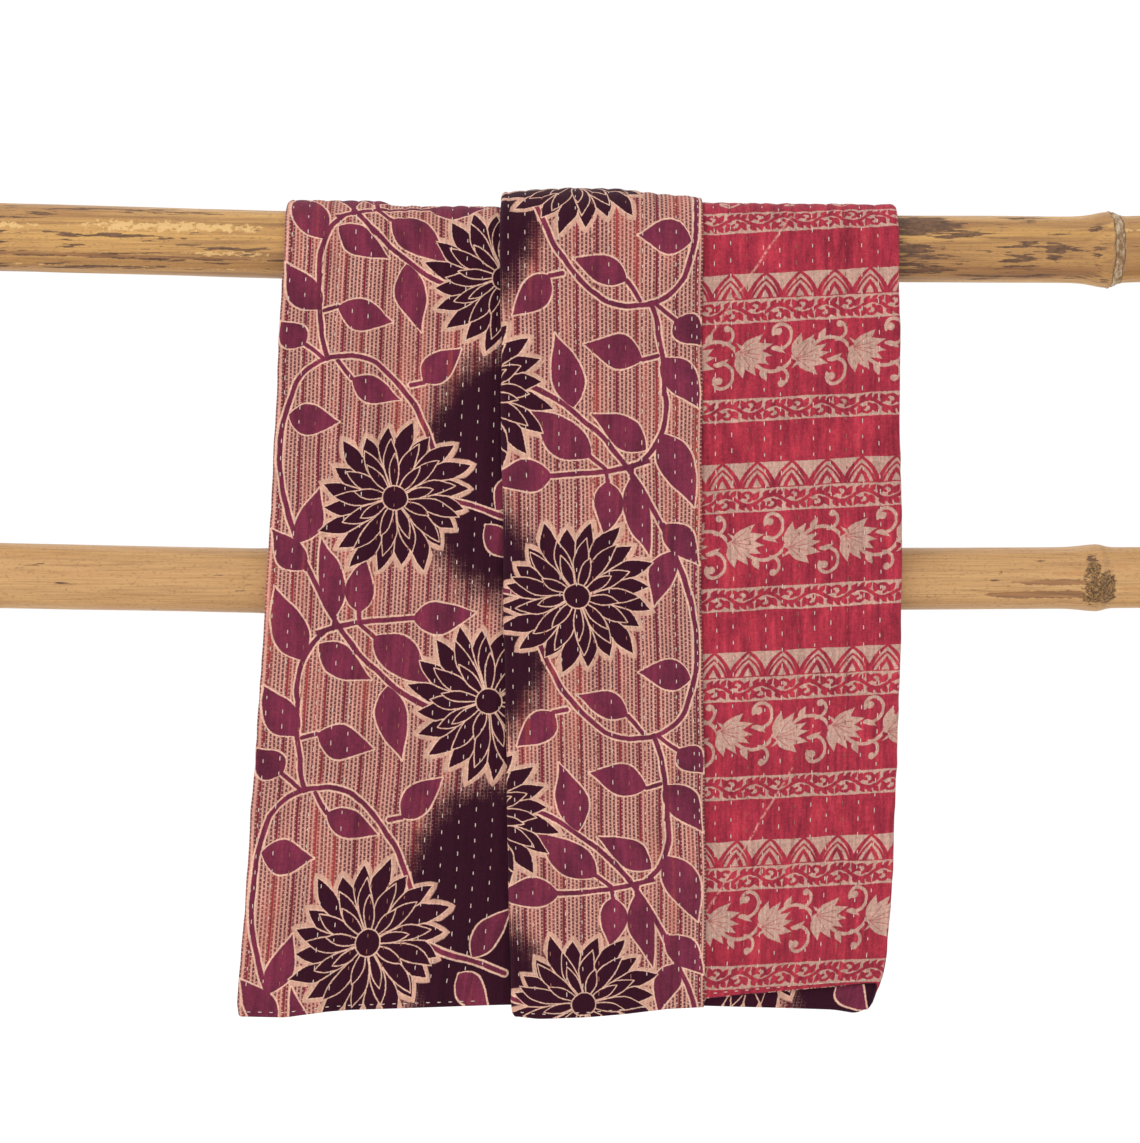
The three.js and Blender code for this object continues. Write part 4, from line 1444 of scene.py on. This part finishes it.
# Pale figure of the garland, as a distance: a fan of five leaves, its stem and its curls, in cells that
# are turned over by turns
def garlandFigure(tree, x, y):
    cell = bordered["cell"]
    lead = bordered["cellLead"]
    steps = calc(tree, "DIVIDE", minus(tree, x, bordered["cellStart"] - lead), cell)
    number = calc(tree, "FLOORED_MODULO", calc(tree, "FLOOR", steps), 2)
    flip = minus(tree, 1, times(tree, number, 2))
    localX = minus(tree, times(tree, calc(tree, "FRACT", steps), cell), lead)
    localY = plus(tree, times(tree, y, flip), bordered["baseSway"])
    local = joinXY(tree, localX, localY)
    fan = [leafAt(tree, local, *leaf) for leaf in bordered["leaves"]]
    arcs = [minus(tree, arcAt(tree, local, *points), half) for *points, half in bordered["arcs"]]
    blobs = [minus(tree, lengthOf(tree, fromPoint(tree, local, at)), size) for at, size in bordered["blobs"]]
    veins = []
    for _, tip, _, _ in bordered["leaves"][:bordered["veined"]]:
        vein = stemAt(tree, local, (0, 0), np.multiply(tip, bordered["veinShare"]))
        veins.append(minus(tree, vein, bordered["veinHalf"]))
    return minOf(tree, fan + arcs + blobs), minOf(tree, veins)


def makeRedGroup():
    tree, given, result = makeGroup("redPrint", {"Vector": ("Vector", (0, 0, 0))}, {"Color": "Color"})
    plain = vec(tree, "MULTIPLY", given["Vector"], (1000, 1000, 0))
    place = wander(tree, plain, 3, 1.3)
    parts = addNode(tree, "ShaderNodeSeparateXYZ")
    tree.links.new(place, parts.inputs[0])
    y = parts.outputs[1]
    x = plus(tree, parts.outputs[0], times(tree, y, bordered["shear"]))
    down = calc(tree, "FLOORED_MODULO", y, bordered["repeat"])
    colours = bordered["colours"]

    streak = grain(tree, plain, (0.1, 0.02, 0), 5, 0.65)
    red = mixColour(tree, ramp(tree, streak, 0.35, 0.6), colours["dark"], colours["red"])
    red = mixColour(tree, ramp(tree, streak, 0.58, 0.8), red, colours["bright"])
    pale = mixColour(tree, noise(tree, plain, 0.12, 3), colours["grey"], colours["pale"])
    pale = mixColour(tree, ramp(tree, streak, 0.55, 0.8, 0, 0.5), pale, srgb(206, 158, 138))

    archEnd = bordered["arch"]
    scrollEnd = archEnd + bordered["scroll"]
    garlandEnd = scrollEnd + bordered["garland"]
    lowerEnd = garlandEnd + bordered["scroll"]

    # arches stand on the arch band's lower line
    aside = calc(tree, "PINGPONG", minus(tree, x, bordered["archPhase"]), bordered["archPitch"] / 2)
    height = minus(tree, archEnd - 0.6, down)
    raised = plus(tree, height, bordered["archSunk"])
    swell = ramp(tree, height, 0, archEnd, 1.2, 0.6)
    lines = [minus(tree, pointedArch(tree, aside, raised, w, h), times(tree, swell, half))
             for w, h, half in bordered["arches"]]
    foot = minus(tree, calc(tree, "ABSOLUTE", height), 0.7)
    archRed = minOf(tree, lines + [foot])
    scrollY = minus(tree, down, archEnd + bordered["scroll"] / 2)
    lowerY = minus(tree, down, garlandEnd + bordered["scroll"] / 2)
    isLower = calc(tree, "GREATER_THAN", down, scrollEnd + bordered["garland"] / 2)
    bandY = plus(tree, times(tree, scrollY, minus(tree, 1, isLower)),
                 times(tree, lowerY, isLower))
    scrollRed = scrollFigure(tree, x, bandY)
    garlandMiddle = scrollEnd + bordered["garland"] / 2
    garland, veins = garlandFigure(tree, x, minus(tree, down, garlandMiddle - bordered["garlandRise"]))

    def between(low, high):
        return times(tree, under(tree, minus(tree, low, down), 0), under(tree, down, high))

    def outside(distance):
        return under(tree, times(tree, distance, -1), 0)

    scrolls = plus(tree, between(archEnd, scrollEnd), between(garlandEnd, lowerEnd), clamp=True)
    paleMask = times(tree, between(0.0, archEnd), outside(archRed))
    scrollMask = times(tree, scrolls, outside(scrollRed))
    figure = times(tree, under(tree, garland, 0), outside(veins))
    garlandMask = times(tree, between(scrollEnd, garlandEnd), figure)
    mask = plus(tree, plus(tree, paleMask, scrollMask), garlandMask, clamp=True)
    colour = mixColour(tree, mask, red, pale)

    # old creases, rubbed pale along broken lines
    creases = minOf(tree, [stemAt(tree, place, *ends) for ends in bordered["creases"]])
    broken = noise(tree, plain, 0.22, 4, 0.7)
    crease = times(tree, under(tree, creases, 1.0, 0.8), ramp(tree, broken, 0.42, 0.55, 0, 0.75))
    tree.links.new(mixColour(tree, crease, colour, srgb(214, 160, 146)), result["Color"])
    return tree


redGroup = makeRedGroup()


def redMaterial():
    return cottonMaterial("redCotton", redGroup, 0.38)


def threadMaterial(name, colour):
    material, tree, shader = newMaterial(name)
    fibre = grain(tree, objectVector(tree), (900, 900, 500), 3, 0.6)
    aged = [0.6 * value for value in colour[:3]] + [1]
    colour = mixColour(tree, ramp(tree, fibre, 0.35, 0.65), aged, colour)
    paint(tree, shader, colour, ramp(tree, fibre, 0.3, 0.7, 0.62, 0.8), fibre, 0.6, 0.0003)
    return material


addCamera()
addStudio()
addBamboo()
addLashings()
addPegs()
addQuilt()
